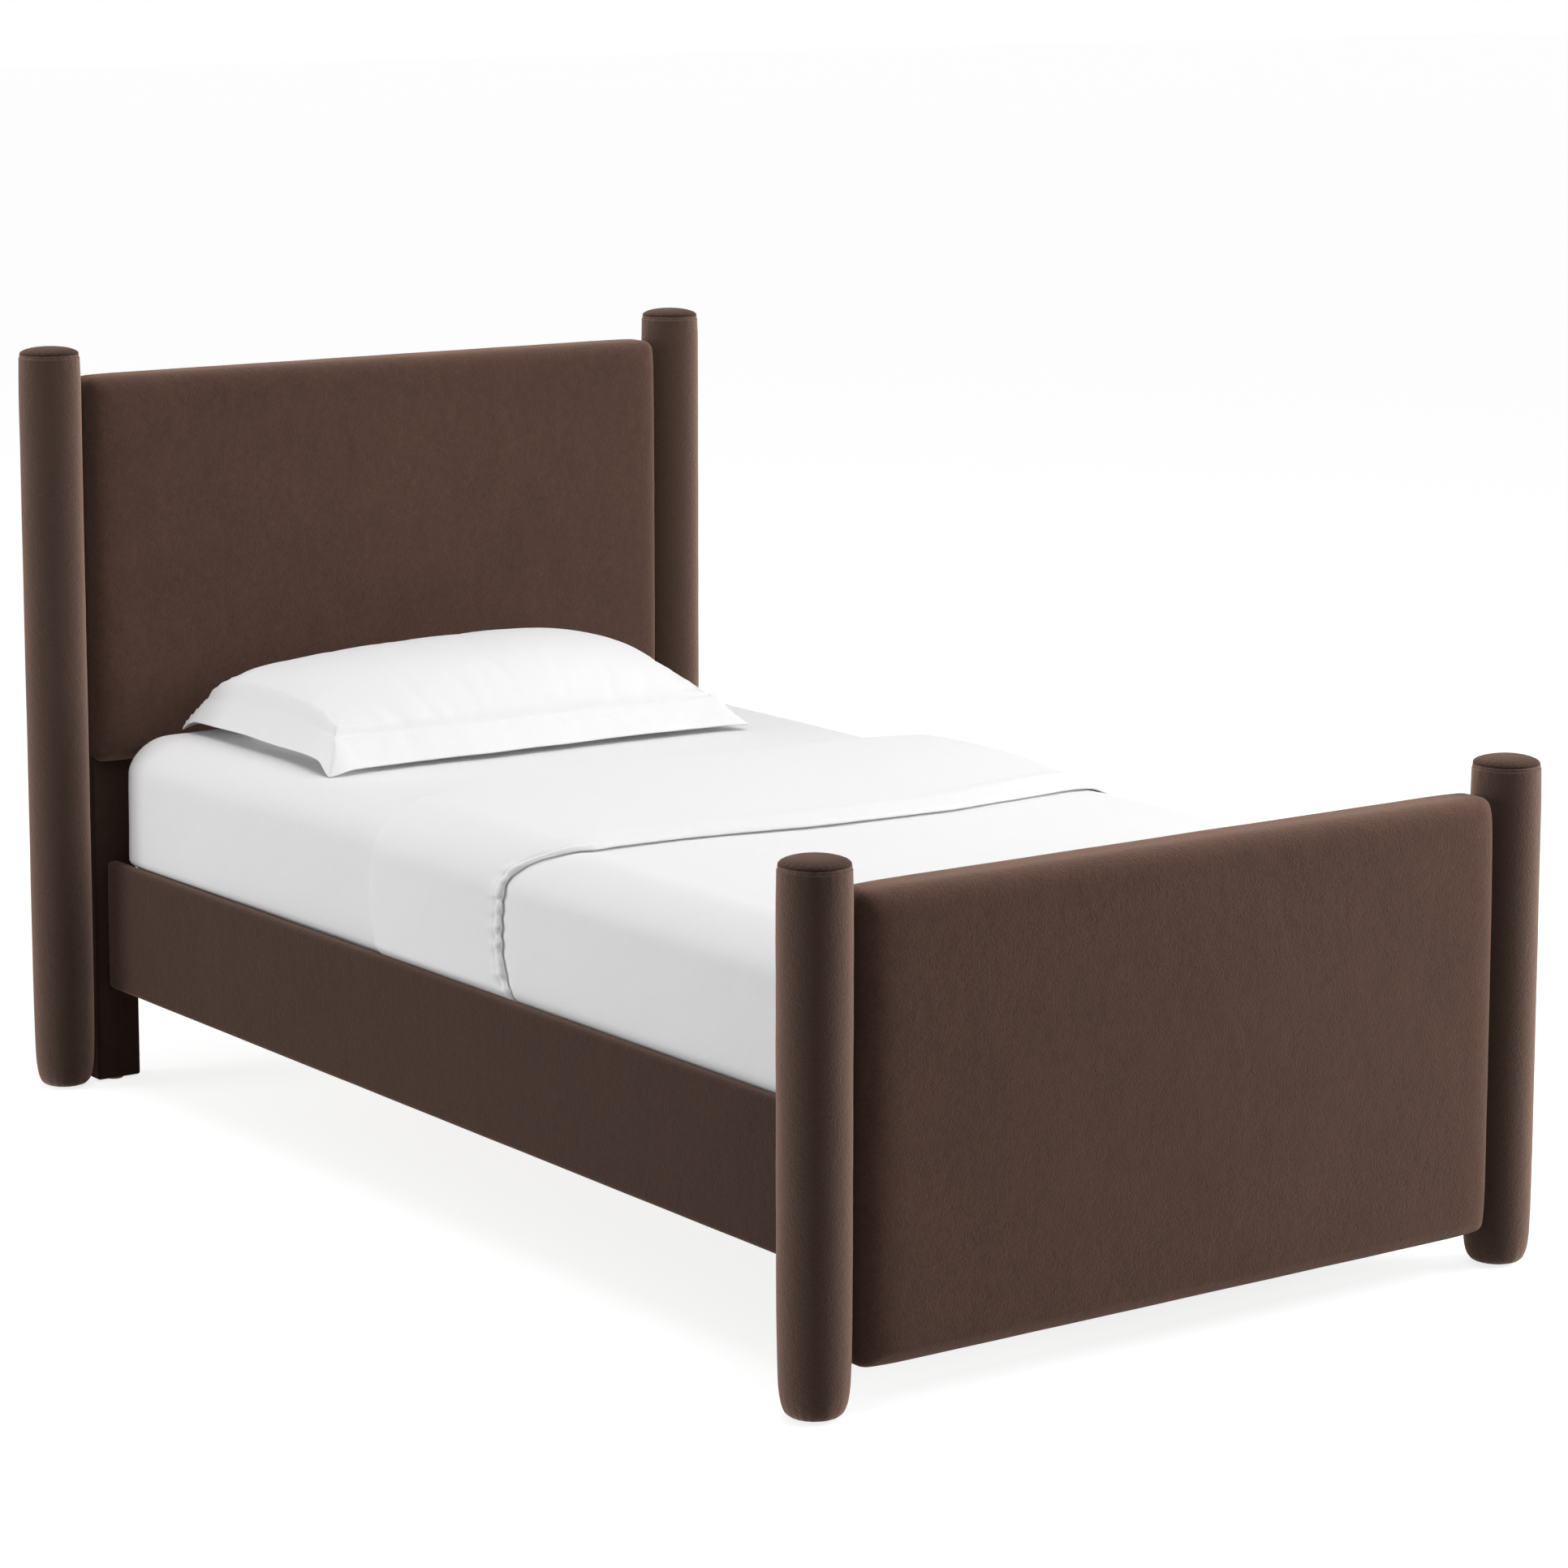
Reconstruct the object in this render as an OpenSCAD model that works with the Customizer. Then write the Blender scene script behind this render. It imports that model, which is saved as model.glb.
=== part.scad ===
// Single platform bed with four round upholstered posts, a padded headboard and
// footboard, padded side rails, a slatted base and its dressed mattress.
// X runs across the bed, +Y to the head end, +Z up, origin on the floor at the middle.
// All sizes are in millimetres.

/* [Mattress] */
// Width of the mattress
mattress_w = 965; // [900:5:1000]
// Length of the mattress
mattress_l = 1905; // [1850:5:2000]
// Height of the mattress
mattress_h = 254; // [200:2:320]
// Rounding of the mattress's upright corners
mattress_corner_r = 60; // [60:1:90]
// Rounding of the mattress at its top edge
mattress_edge_r = 56; // [40:2:58]
// Rounding of the mattress at its bottom edge
mattress_base_r = 28; // [15:1:35]

/* [Posts] */
// Diameter of an upholstered post
post_d = 97; // [85:1:120]
// Height of the two head posts
head_post_h = 1189; // [1150:1:1400]
// Height of the two foot posts
foot_post_h = 720; // [690:1:900]
// Centre of a post beyond the outer face of the side rail
post_out = 68; // [64:1:90]
// Thickness of the padded cover round a post
post_cover_t = 8; // [5:0.5:12]
// Rounding of a post at the floor
post_base_r = 30; // [22:1:32]
// Rounding of a post's shoulder under its cap
post_top_r = 12; // [8:1:16]
// How far the cap's seam lies in from the side of the post
cap_in = 3.5; // [2:0.5:6]
// Rise of the cap's dome above its seam
cap_dome = 11.5; // [6:0.5:16]
// Thickness of the cap's disc below its seam
cap_t = 9; // [6:1:14]
// Diameter of the dowel under a cap
cap_dowel_d = 20; // [12:1:30]
// Length of the dowel under a cap
cap_dowel_l = 30; // [15:1:50]

/* [Panels] */
// Thickness of a panel at its edges
panel_t = 94; // [80:1:110]
// Rise of each panel face at mid height
panel_crown = 4; // [2:0.5:6]
// Rounding of the panel's long edges
panel_edge_r = 26; // [18:1:30]
// Rounding of the panel's corners seen from the front
panel_corner_r = 14; // [6:1:15]
// Top of the headboard panel
head_panel_top = 1140; // [1050:1:1145]
// Bottom of the headboard panel
head_panel_bottom = 521; // [450:1:560]
// Top of the footboard panel
foot_panel_top = 673; // [620:1:680]
// Bottom of the footboard panel
foot_panel_bottom = 55; // [30:1:110]
// Thickness of the board inside a panel and of the timber of a leg plank
board_t = 34; // [30:1:38]
// Padding between the board's edge and the panel's edge
board_margin = 7; // [6:0.5:9]
// Thickness of the velvet cover of a panel with its backing
panel_cover_t = 3; // [2:0.5:4]

/* [Head legs] */
// Width of a covered leg plank
leg_w = 75.5; // [65:0.5:90]
// Thickness of the velvet round a leg plank
leg_cover_t = 2.5; // [1.5:0.5:4]
// How far the leg plank reaches up inside the headboard
leg_up = 120; // [100:5:150]

/* [Side rails] */
// Thickness of a covered side rail
rail_t = 24.5; // [22:0.5:30]
// Height of a covered side rail
rail_h = 209; // [190:1:240]
// Underside of the side rails above the floor
rail_z = 153; // [120:1:170]
// Thickness of the padded cover round a rail board
rail_cover_t = 4; // [3:0.5:5]
// Rounding of a rail's long edges
rail_edge_r = 10; // [6:1:11]
// Rounding of a rail's ends seen from above
rail_end_r = 8; // [4:1:10]
// Free width between the mattress and each rail
side_clear = 13; // [12:0.5:20]
// Free length between the panels beyond the mattress
end_clear = 43; // [36:1:60]

/* [Slatted base] */
// Top of the slats above the floor
slat_top = 315; // [290:1:325]
// Thickness of a slat
slat_t = 18; // [14:1:22]
// Width of a slat
slat_w = 70; // [55:1:90]
// Bare length of mattress beyond the end slats
slat_margin = 25; // [15:1:60]
// Gap between a slat's end and the rail
slat_gap = 3; // [1:0.5:6]
// Width of a ledger strip
ledger_w = 30; // [24:1:40]
// Height of a ledger strip
ledger_h = 32; // [30:1:40]
// Width of the centre rail
centre_w = 40; // [36:1:50]
// Height of the centre rail
centre_h = 60; // [50:1:80]
// Side of a square centre leg
centre_leg_w = 40; // [36:1:50]
// Distance between the centre legs
centre_leg_pitch = 700; // [500:10:850]

/* [Hardware] */
// Diameter of a floor glide
glide_d = 28; // [20:1:30]
// Diameter of the pin on a floor glide
glide_pin_d = 6; // [4:0.5:8]
// Length of the pin on a floor glide
glide_pin_l = 18; // [10:1:30]
// Diameter of a stud
stud_d = 8; // [6:0.5:10]
// Length of a stud
stud_l = 90; // [80:1:96]
// Height of the upper panel studs below a panel's top
stud_top = 90; // [50:5:140]
// Height of the lower headboard studs above the panel's bottom
stud_head = 230; // [180:5:260]
// Height of the lower footboard studs above the panel's bottom
stud_foot = 100; // [60:5:140]
// Thickness of the steel hook and slot plates
plate_t = 3; // [2:0.5:4]
// Width of the hook and slot plates
plate_w = 15; // [13:0.5:16]
// Height of the hook and slot plates
plate_h = 130; // [120:1:160]
// Distance between the two hooks of a plate
hook_pitch = 60; // [50:1:64]
// Thickness of a hook
hook_t = 3; // [2:0.5:4]
// Reach of a hook beyond its plate
hook_l = 14; // [12:0.5:18]
// Height of a hook in its slot
hook_h = 16; // [12:1:18]
// Drop of a hook's nose behind the slot plate
hook_drop = 6; // [4:0.5:8]
// Diameter of a wood screw
screw_d = 4.5; // [3.5:0.5:5]
// Length of a wood screw
screw_l = 45; // [40:1:48]
// Diameter of a wood screw's head
screw_head_d = 9; // [7:0.5:10]
// Diameter of a plate screw
plate_screw_d = 4; // [3:0.5:4.5]
// Length of a plate screw
plate_screw_l = 26; // [20:1:30]
// Diameter of a plate screw's head
plate_screw_head_d = 7.5; // [6:0.5:8]
// Distance between the two screws of a plate
plate_screw_pitch = 110; // [104:1:114]

/* [Levelling feet] */
// Diameter of the foot's pad
pad_d = 38; // [30:1:50]
// Thickness of the foot's pad
pad_t = 8; // [5:0.5:12]
// Diameter of the foot's threaded stem
stem_d = 10; // [8:0.5:12]
// Length of the foot's threaded stem above its pad
stem_l = 70; // [50:1:90]
// Thickness of the wall of the threaded insert
insert_wall = 2.5; // [1.5:0.5:4]
// Length of the threaded insert
insert_l = 25; // [15:1:35]
// Gap between the pad and the leg with the foot set level
foot_gap = 22; // [16:1:30]

/* [Bedding] */
// Thickness of the fitted sheet
sheet_t = 1.5; // [1:0.1:2]
// Bare height of mattress below the fitted sheet's hem
sheet_hem = 20; // [10:1:40]
// Height of the cover's side hems above the slats
cover_hem = 30; // [22:1:44]
// Thickness of the bed cover
cover_t = 5; // [4:0.5:7]
// Thickness of the turned down band
band_t = 8; // [5:0.5:12]
// Thickness of the cover and of the band where they are tucked behind the rail
tuck_t = 3; // [2:0.5:4]
// Crown of the turned down band
band_crown = 5; // [0:0.5:8]
// Fold of the turned down band towards the head from mid bed
fold_y = 320; // [250:5:340]
// How far the fold is drawn in at the sides
fold_in = 130; // [50:5:160]
// Hem of the turned down band towards the foot from mid bed
hem_y = 300; // [200:5:350]
// How far the hem is drawn in at the left side
hem_in_left = 145; // [0:5:160]
// How far the hem is drawn in at the right side
hem_in_right = 15; // [0:5:160]
// Width of the pillow with its flange
pillow_w = 770; // [600:5:800]
// Depth of the pillow with its flange
pillow_d = 500; // [420:5:505]
// Width of the pillow's flange
flange_w = 50; // [30:1:60]
// Slope at which the flange hangs from its stitch line
flange_tilt = 65; // [45:1:75]
// Height of the flange's edge above the sheet at mid edge
flange_lift = 6; // [4:0.5:12]
// Thickness of the flange
flange_t = 3; // [2:0.5:4]
// Height of the pillow's crown above its seam
pillow_crown = 86; // [60:1:120]
// How far the pillow's sides are drawn in between the corners
pillow_draw = 14; // [5:1:20]
// Pillow's middle to the side of the bed's middle
pillow_x = -22; // [-60:1:60]
// Turn of the pillow seen from above
pillow_turn = -2; // [-2:0.5:2]

/* [Hidden] */
$fn = 96;
slat_n = 12;
// Clearance between pieces that nest in each other
fit = 0.3;
// Clearance between a loose soft piece and what it lies on
soft_fit = 0.9;
// Clearance between the headboard and the sheet on the mattress
head_gap = 2;
// Clearance between a post and the panel or leg beside it
post_gap = 0.3;
// Clearance between a leg's plank and the panel's side above it
leg_gap = 0.7;
// Clearance between the fitted sheet and the mattress
sheet_fit = 0.6;
// Clearance of a hook in its slot
hook_fit = 0.5;
// Bare length of post or leg cover above the floor
base_gap = 3;
// Height of the leg studs above the headboard's bottom
leg_stud_z = [35, 95];
// Height of the cap's edge at its seam
cap_lip = 1;
// Radius that rounds the rail board's edges
rail_board_r = 4;
// Bevel at the foot of a leg's cover
leg_bevel = 6;
// Rounding of a leg cover's upright edges beyond its thickness
leg_round = 1.5;
// Straight land of a countersunk head below its face
head_land = 0.4;
// Timber of a slot plate's block left round the plate
block_rim = 1.5;
// Bevel on a hook's nose and heel
hook_bevel = 5;
// Free space round a hook in the timber behind its plate
pocket = 1;
// Free play of a hook's nose behind its slot plate
nose_play = 1.2;
// Overlap of a cut beyond the face that it opens
cut = 1;
// Angle at which the cover's foot end stops on the mattress's rounding
wrap_angle = 72;
// Length over which the band's hem is rounded off
band_nose = 4;
// Heights from the rail's top between which the cover swells from its tucked thickness
tuck_zone = [-2, 12];
// Shares of the way from mid bed to the side face over which the fold and the hem are drawn in
fold_reach = [0.55, 1.02];
hem_reach = [0.6, 1.04];
// Waves of the band's hem: height, turn in degrees for each mm of way, start
hem_waves = [[3, 2.6, 0], [2, 6.1, 40]];
// Slope of the hem down the side faces, and how far below their top it starts
hem_slope = 0.16;
hem_slope_start = 30;
// Fullness of the pillow: how square it is in plan, and how its crown and belly swell
pillow_square = 2.4;
crown_swell = 0.62;
belly_swell = 0.5;
// Share of the seam's height that is lost towards the corners
corner_sag = 0.35;

rail_in = mattress_w / 2 + side_clear;
rail_out = rail_in + rail_t;
rail_mid = (rail_in + rail_out) / 2;
post_x = rail_out + post_out;
clear_y = (mattress_l + end_clear) / 2;
panel_y = clear_y + panel_crown + panel_t / 2;
panel_side = post_x - post_d / 2 - post_gap;
glide_h = base_gap + post_cover_t;
leg_out = panel_side - leg_gap;
leg_x = leg_out - leg_w / 2;
leg_core_w = leg_w - 2 * leg_cover_t;
leg_face = panel_y - board_t / 2 - plate_t;
foot_face = -(clear_y - hook_fit);
rail_head = leg_face - hook_fit;
rail_foot = foot_face + hook_fit;
rail_top = rail_z + rail_h;
rail_mid_z = rail_z + rail_h / 2;
block_back = -(panel_y - board_t / 2);
block_t = foot_face - plate_t - block_back;
mat_head = clear_y - head_gap - sheet_t;
mat_y = mat_head - mattress_l / 2;
mat_foot = mat_head - mattress_l;
mat_top = slat_top + mattress_h;
slat_z = slat_top - slat_t;
slat_pitch = (mattress_l - 2 * slat_margin - slat_w) / (slat_n - 1);
ledger_l = mattress_l - slat_margin;
centre_z = slat_z - centre_h;
window_t = 4 * plate_t;
leg_bottom = pad_t + foot_gap;
ledger_x = rail_in - ledger_w / 2;

function slat_y(i) = mat_y + (i - (slat_n + 1) / 2) * slat_pitch;
function smooth(a, b, x) = let (t = max(0, min(1, (x - a) / (b - a)))) t * t * (3 - 2 * t);

// Shapes that several pieces share

module rounded_rect(w, h, r) {
    square([w - 2 * r, h], center = true);
    square([w, h - 2 * r], center = true);
    for (sx = [-1, 1], sy = [-1, 1])
        translate([sx * (w / 2 - r), sy * (h / 2 - r)]) circle(r = r);
}

// Box whose edges are rounded: rz seen from above, ry from the front, rx from the side
module soft_box(w, l, h, rz, ry, rx) {
    intersection() {
        translate([0, 0, -h / 2]) linear_extrude(h) rounded_rect(w, l, rz);
        rotate([90, 0, 0]) translate([0, 0, -l / 2]) linear_extrude(l) rounded_rect(w, h, ry);
        rotate([90, 0, 90]) translate([0, 0, -w / 2]) linear_extrude(w) rounded_rect(l, h, rx);
    }
}

module bar_x(x0, x1, y, z, d) {
    translate([min(x0, x1), y, z]) rotate([0, 90, 0]) cylinder(d = d, h = abs(x1 - x0));
}

// Countersunk screw with its head's face at z = 0, pointing down
module screw(d, head_d, l, grow) {
    r = d / 2 + grow;
    hr = head_d / 2 + grow;
    face = grow > 0 ? cut : 0;
    rotate_extrude() polygon([
        [0, face], [hr, face], [hr, -head_land],
        [r, -head_land - (hr - r)], [r, -l - grow], [0, -l - grow]
    ]);
}

// Posts

// Solid of a post below top, taken in by d on every side, with a shoulder of that height
module post_form(top, d, shoulder) {
    r = post_d / 2 - d;
    b = post_base_r - d;
    z = base_gap + d;
    side = top - shoulder;
    rotate_extrude() union() {
        translate([0, z + b]) square([r, side - z - b]);
        translate([0, z + b]) square([r - post_top_r, top - z - b]);
        translate([0, z]) square([r - b, b + cut]);
        intersection() {
            translate([r - b, z + b]) circle(r = b);
            translate([r - b - cut, z]) square([b + cut, b + cut]);
        }
        if (shoulder > 0) intersection() {
            translate([r - post_top_r, side]) circle(r = post_top_r);
            translate([r - post_top_r - cut, side - cut]) square([post_top_r + cut, shoulder + cut]);
        }
    }
}

module post_studs(sx, sy, low, high, grow) {
    for (z = [low, high])
        bar_x(sx * (post_x + grow), sx * (post_x - stud_l - grow), sy * panel_y, z, stud_d + 2 * grow);
}

module head_studs(sx, grow) {
    post_studs(sx, 1, head_panel_bottom + stud_head, head_panel_top - stud_top, grow);
}

module foot_studs(sx, grow) {
    post_studs(sx, -1, foot_panel_bottom + stud_foot, foot_panel_top - stud_top, grow);
}

module end_studs(sx, sy, grow) {
    if (sy > 0) head_studs(sx, grow);
    else foot_studs(sx, grow);
}

module post_core(sx, sy, h) {
    top = h - cap_dome - cap_t - fit;
    color("burlywood") difference() {
        translate([sx * post_x, sy * panel_y, 0]) difference() {
            post_form(top, post_cover_t + fit, 0);
            translate([0, 0, top - cap_dowel_l - pocket])
                cylinder(d = cap_dowel_d + fit, h = cap_dowel_l + pocket + cut);
            cylinder(d = glide_pin_d + fit, h = glide_h + glide_pin_l + pocket);
        }
        end_studs(sx, sy, fit);
    }
}

module post_cover(sx, sy, h) {
    shoulder = sqrt(cap_in * (2 * post_top_r - cap_in));
    color([0.3, 0.23, 0.2]) difference() {
        translate([sx * post_x, sy * panel_y, 0]) difference() {
            post_form(h - cap_dome, 0, shoulder);
            post_form(h, post_cover_t, 0);
            cylinder(d = glide_d + 2 * fit, h = glide_h + cut);
        }
        end_studs(sx, sy, fit);
    }
}

// Domed disc that lies on the cover's shoulder and fills its mouth, with a dowel below
module post_cap(sx, sy, h) {
    r = post_d / 2 - cap_in - fit;
    rise = cap_dome - cap_lip;
    dome_r = (r * r + rise * rise) / (2 * rise);
    color([0.33, 0.25, 0.22]) translate([sx * post_x, sy * panel_y, h - cap_dome]) union() {
        rotate_extrude() intersection() {
            translate([0, cap_dome - dome_r]) circle(r = dome_r);
            square([r, cap_dome]);
        }
        translate([0, 0, -cap_t]) cylinder(r = post_d / 2 - post_cover_t - fit, h = cap_t + cut);
        translate([0, 0, -cap_t - cap_dowel_l]) cylinder(d = cap_dowel_d, h = cap_dowel_l + cut);
    }
}

module floor_glide() {
    cylinder(d = glide_d, h = glide_h);
    cylinder(d = glide_pin_d, h = glide_h + glide_pin_l);
}

module floor_glides() {
    color("dimgray") for (sx = [-1, 1]) {
        for (sy = [-1, 1]) translate([sx * post_x, sy * panel_y, 0]) floor_glide();
        translate([sx * leg_x, panel_y, 0]) floor_glide();
    }
}

// Head legs

module leg_studs(sx, grow) {
    x0 = leg_x - leg_core_w / 2;
    for (dz = leg_stud_z)
        bar_x(sx * (x0 + stud_l / 2 + grow), sx * (x0 - stud_l / 2 - grow), panel_y,
              head_panel_bottom + dz, stud_d + 2 * grow);
}

module leg_core_form(sx, grow) {
    top = head_panel_bottom + leg_up;
    translate([sx * leg_x - leg_core_w / 2 - grow, panel_y - board_t / 2 - grow, glide_h])
        cube([leg_core_w + 2 * grow, board_t + 2 * grow, top - glide_h + grow]);
}

module head_leg_core(sx) {
    color("burlywood") difference() {
        leg_core_form(sx, 0);
        translate([sx * leg_x, panel_y, glide_h - cut])
            cylinder(d = glide_pin_d + fit, h = glide_pin_l + cut + pocket);
        leg_studs(sx, fit);
        at_leg_plate(sx) slot_pockets();
        at_leg_plate(sx) plate_screws_at(fit);
    }
}

module head_leg_cover(sx) {
    w = leg_w / 2;
    t = board_t + 2 * leg_cover_t;
    top = head_panel_bottom - fit;
    color([0.3, 0.23, 0.2]) difference() {
        translate([sx * leg_x, panel_y, 0]) intersection() {
            translate([0, 0, base_gap]) linear_extrude(top - base_gap)
                rounded_rect(leg_w, t, leg_cover_t + leg_round);
            rotate([90, 0, 0]) translate([0, 0, -t / 2]) linear_extrude(t) polygon([
                [-w + leg_bevel, base_gap], [w - leg_bevel, base_gap], [w, base_gap + leg_bevel],
                [w, top], [-w, top], [-w, base_gap + leg_bevel]
            ]);
        }
        leg_core_form(sx, fit / 2);
        translate([sx * leg_x, panel_y, glide_h / 2 + cut])
            cube([leg_core_w - 2 * leg_bevel, board_t, glide_h + 2 * cut], center = true);
        at_leg_plate(sx) plate_window();
    }
}

// Hook and slot plates. Each lies in the plane y = 0 with the rail on the -Y side.

module at_leg_plate(sx) {
    translate([sx * rail_mid, leg_face, rail_mid_z]) children();
}

module at_foot_plate(sx) {
    translate([sx * rail_mid, foot_face, rail_mid_z]) mirror([0, 1, 0]) children();
}

module plate_blank() {
    translate([-plate_w / 2, 0, -plate_h / 2]) cube([plate_w, plate_t, plate_h]);
}

// Opening in a cover on both faces of the seam between rail and plate
module plate_window() {
    translate([0, -plate_t, 0])
        cube([plate_w + 2 * hook_fit, window_t, plate_h + 2 * hook_fit], center = true);
}

module plate_screws_at(grow) {
    for (s = [-1, 1]) translate([0, 0, s * plate_screw_pitch / 2])
        rotate([90, 0, 0]) screw(plate_screw_d, plate_screw_head_d, plate_screw_l, grow);
}

// Screws of the hook plate point back into the rail
module hook_screws_at(grow) {
    translate([0, -hook_fit, 0]) mirror([0, 1, 0]) plate_screws_at(grow);
}

module slot_pockets() {
    w = hook_t + 2 * pocket;
    for (s = [-1, 1]) translate([-w / 2, -cut, s * hook_pitch / 2 - hook_h / 2 - hook_drop - pocket])
        cube([w, plate_t + hook_l + 2 * cut, hook_h + 2 * (hook_drop + pocket)]);
}

module slot_plate() {
    difference() {
        plate_blank();
        for (s = [-1, 1])
            translate([-hook_t / 2 - hook_fit, -cut, s * hook_pitch / 2 - hook_h / 2 - hook_fit])
                cube([hook_t + 2 * hook_fit, plate_t + 2 * cut, hook_h + hook_drop + 2 * hook_fit]);
        plate_screws_at(fit / 2);
    }
}

// Two hooks reach from the plate's middle through the slots; their noses hang behind them
module hook_plate() {
    nose = hook_fit + plate_t + nose_play;
    tip = hook_fit + hook_l + cut;
    low = -hook_h / 2;
    difference() {
        union() {
            translate([0, -hook_fit - plate_t, 0]) plate_blank();
            for (s = [-1, 1]) translate([-hook_t / 2, -hook_fit - cut, s * hook_pitch / 2])
                rotate([90, 0, 90]) linear_extrude(hook_t) polygon([
                    [0, low], [nose, low], [nose, low - hook_drop], [tip - hook_bevel, low - hook_drop],
                    [tip, low], [tip, -low - hook_bevel], [tip - hook_bevel, -low], [0, -low]
                ]);
        }
        hook_screws_at(fit / 2);
    }
}

module hook_plates() {
    color("silver") for (sx = [-1, 1]) {
        at_leg_plate(sx) hook_plate();
        at_foot_plate(sx) hook_plate();
    }
}

module slot_plates() {
    color("silver") for (sx = [-1, 1]) {
        at_leg_plate(sx) slot_plate();
        at_foot_plate(sx) slot_plate();
    }
}

module plate_screws() {
    color("gray") for (sx = [-1, 1]) {
        at_leg_plate(sx) plate_screws_at(0);
        at_foot_plate(sx) plate_screws_at(0);
        at_leg_plate(sx) hook_screws_at(0);
        at_foot_plate(sx) hook_screws_at(0);
    }
}

// Panels

// Crowned slab between two heights, taken in by d on every side
module panel_form(sy, bottom, top, d) {
    w = 2 * (panel_side - d);
    t = panel_t + 2 * (panel_crown - d);
    h = top - bottom - 2 * d;
    half = (top - bottom) / 2;
    r = (half * half + panel_crown * panel_crown) / (2 * panel_crown);
    translate([0, sy * panel_y, (top + bottom) / 2]) intersection() {
        soft_box(w, t, h, panel_edge_r - d, panel_corner_r - d, panel_edge_r - d);
        for (s = [-1, 1]) translate([0, s * (r - panel_t / 2 - panel_crown), 0])
            rotate([0, 90, 0]) cylinder(r = r - d, h = w + 2 * cut, center = true, $fn = 1440);
    }
}

module panel_board_form(sy, bottom, top, grow) {
    w = panel_side - board_margin + grow;
    translate([-w, sy * panel_y - board_t / 2 - grow, bottom + board_margin - grow])
        cube([2 * w, board_t + 2 * grow, top - bottom - 2 * board_margin + 2 * grow]);
}

module headboard_board() {
    color("burlywood") difference() {
        panel_board_form(1, head_panel_bottom, head_panel_top, 0);
        for (sx = [-1, 1]) {
            leg_core_form(sx, fit);
            leg_studs(sx, fit);
            head_studs(sx, fit);
        }
    }
}

module headboard_foam() {
    color("khaki") difference() {
        panel_form(1, head_panel_bottom, head_panel_top, panel_cover_t + fit);
        panel_board_form(1, head_panel_bottom, head_panel_top, fit);
        for (sx = [-1, 1]) {
            leg_core_form(sx, fit);
            head_studs(sx, fit);
        }
    }
}

module headboard_cover() {
    color([0.33, 0.25, 0.22]) difference() {
        panel_form(1, head_panel_bottom, head_panel_top, 0);
        panel_form(1, head_panel_bottom, head_panel_top, panel_cover_t);
        for (sx = [-1, 1]) {
            leg_core_form(sx, fit);
            head_studs(sx, fit);
        }
    }
}

module block_form(sx, grow) {
    w = plate_w + 2 * (block_rim + grow);
    h = plate_h + 2 * (block_rim + grow);
    translate([sx * rail_mid, block_back + block_t / 2, rail_mid_z]) cube([w, block_t, h], center = true);
}

module footboard_board() {
    color("burlywood") difference() {
        panel_board_form(-1, foot_panel_bottom, foot_panel_top, 0);
        for (sx = [-1, 1]) foot_studs(sx, fit);
    }
}

module footboard_foam() {
    color("khaki") difference() {
        panel_form(-1, foot_panel_bottom, foot_panel_top, panel_cover_t + fit);
        panel_board_form(-1, foot_panel_bottom, foot_panel_top, fit);
        for (sx = [-1, 1]) {
            block_form(sx, fit);
            translate([0, plate_t, 0]) block_form(sx, fit);
            foot_studs(sx, fit);
        }
    }
}

module footboard_cover() {
    color([0.33, 0.25, 0.22]) difference() {
        panel_form(-1, foot_panel_bottom, foot_panel_top, 0);
        panel_form(-1, foot_panel_bottom, foot_panel_top, panel_cover_t);
        for (sx = [-1, 1]) {
            block_form(sx, fit);
            translate([0, 2 * plate_t, 0]) block_form(sx, fit);
            foot_studs(sx, fit);
        }
    }
}

module footboard_blocks() {
    color("tan") for (sx = [-1, 1]) difference() {
        block_form(sx, 0);
        at_foot_plate(sx) slot_pockets();
        at_foot_plate(sx) plate_screws_at(fit);
    }
}

// Studs

module centre_studs(grow) {
    for (i = [-1, 0, 1])
        translate([0, mat_y + i * centre_leg_pitch, centre_z - stud_l / 2 - grow])
            cylinder(d = stud_d + 2 * grow, h = stud_l + 2 * grow);
}

module studs() {
    color("silver") {
        for (sx = [-1, 1]) {
            head_studs(sx, 0);
            foot_studs(sx, 0);
            leg_studs(sx, 0);
        }
        centre_studs(0);
    }
}

// Side rails

module rail_form(sx) {
    l = rail_head - rail_foot;
    translate([sx * rail_mid, (rail_head + rail_foot) / 2, rail_mid_z])
        soft_box(rail_t, l, rail_h, rail_end_r, rail_edge_r, rail_edge_r);
}

module rail_board_form(sx, grow) {
    w = rail_t - 2 * rail_cover_t + 2 * grow;
    h = rail_h - 2 * rail_cover_t + 2 * grow;
    l = rail_head - rail_foot - 2 * plate_t;
    translate([sx * rail_mid, rail_head - plate_t, rail_mid_z])
        rotate([90, 0, 0]) linear_extrude(l) rounded_rect(w, h, rail_board_r);
}

module rail_board(sx) {
    color("burlywood") difference() {
        rail_board_form(sx, 0);
        at_leg_plate(sx) hook_screws_at(fit);
        at_foot_plate(sx) hook_screws_at(fit);
        ledger_screws(sx, fit);
    }
}

module rail_cover(sx) {
    color([0.3, 0.23, 0.2]) difference() {
        rail_form(sx);
        rail_board_form(sx, fit / 2);
        at_leg_plate(sx) plate_window();
        at_foot_plate(sx) plate_window();
        ledger_screws(sx, fit);
    }
}

module rail_ledger(sx) {
    color("tan") difference() {
        translate([sx * ledger_x - ledger_w / 2, mat_y - ledger_l / 2, slat_z - ledger_h])
            cube([ledger_w, ledger_l, ledger_h]);
        ledger_screws(sx, fit);
        for (i = [1:slat_n]) translate([sx * ledger_x, slat_y(i), slat_top])
            screw(screw_d, screw_head_d, screw_l, fit);
    }
}

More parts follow.
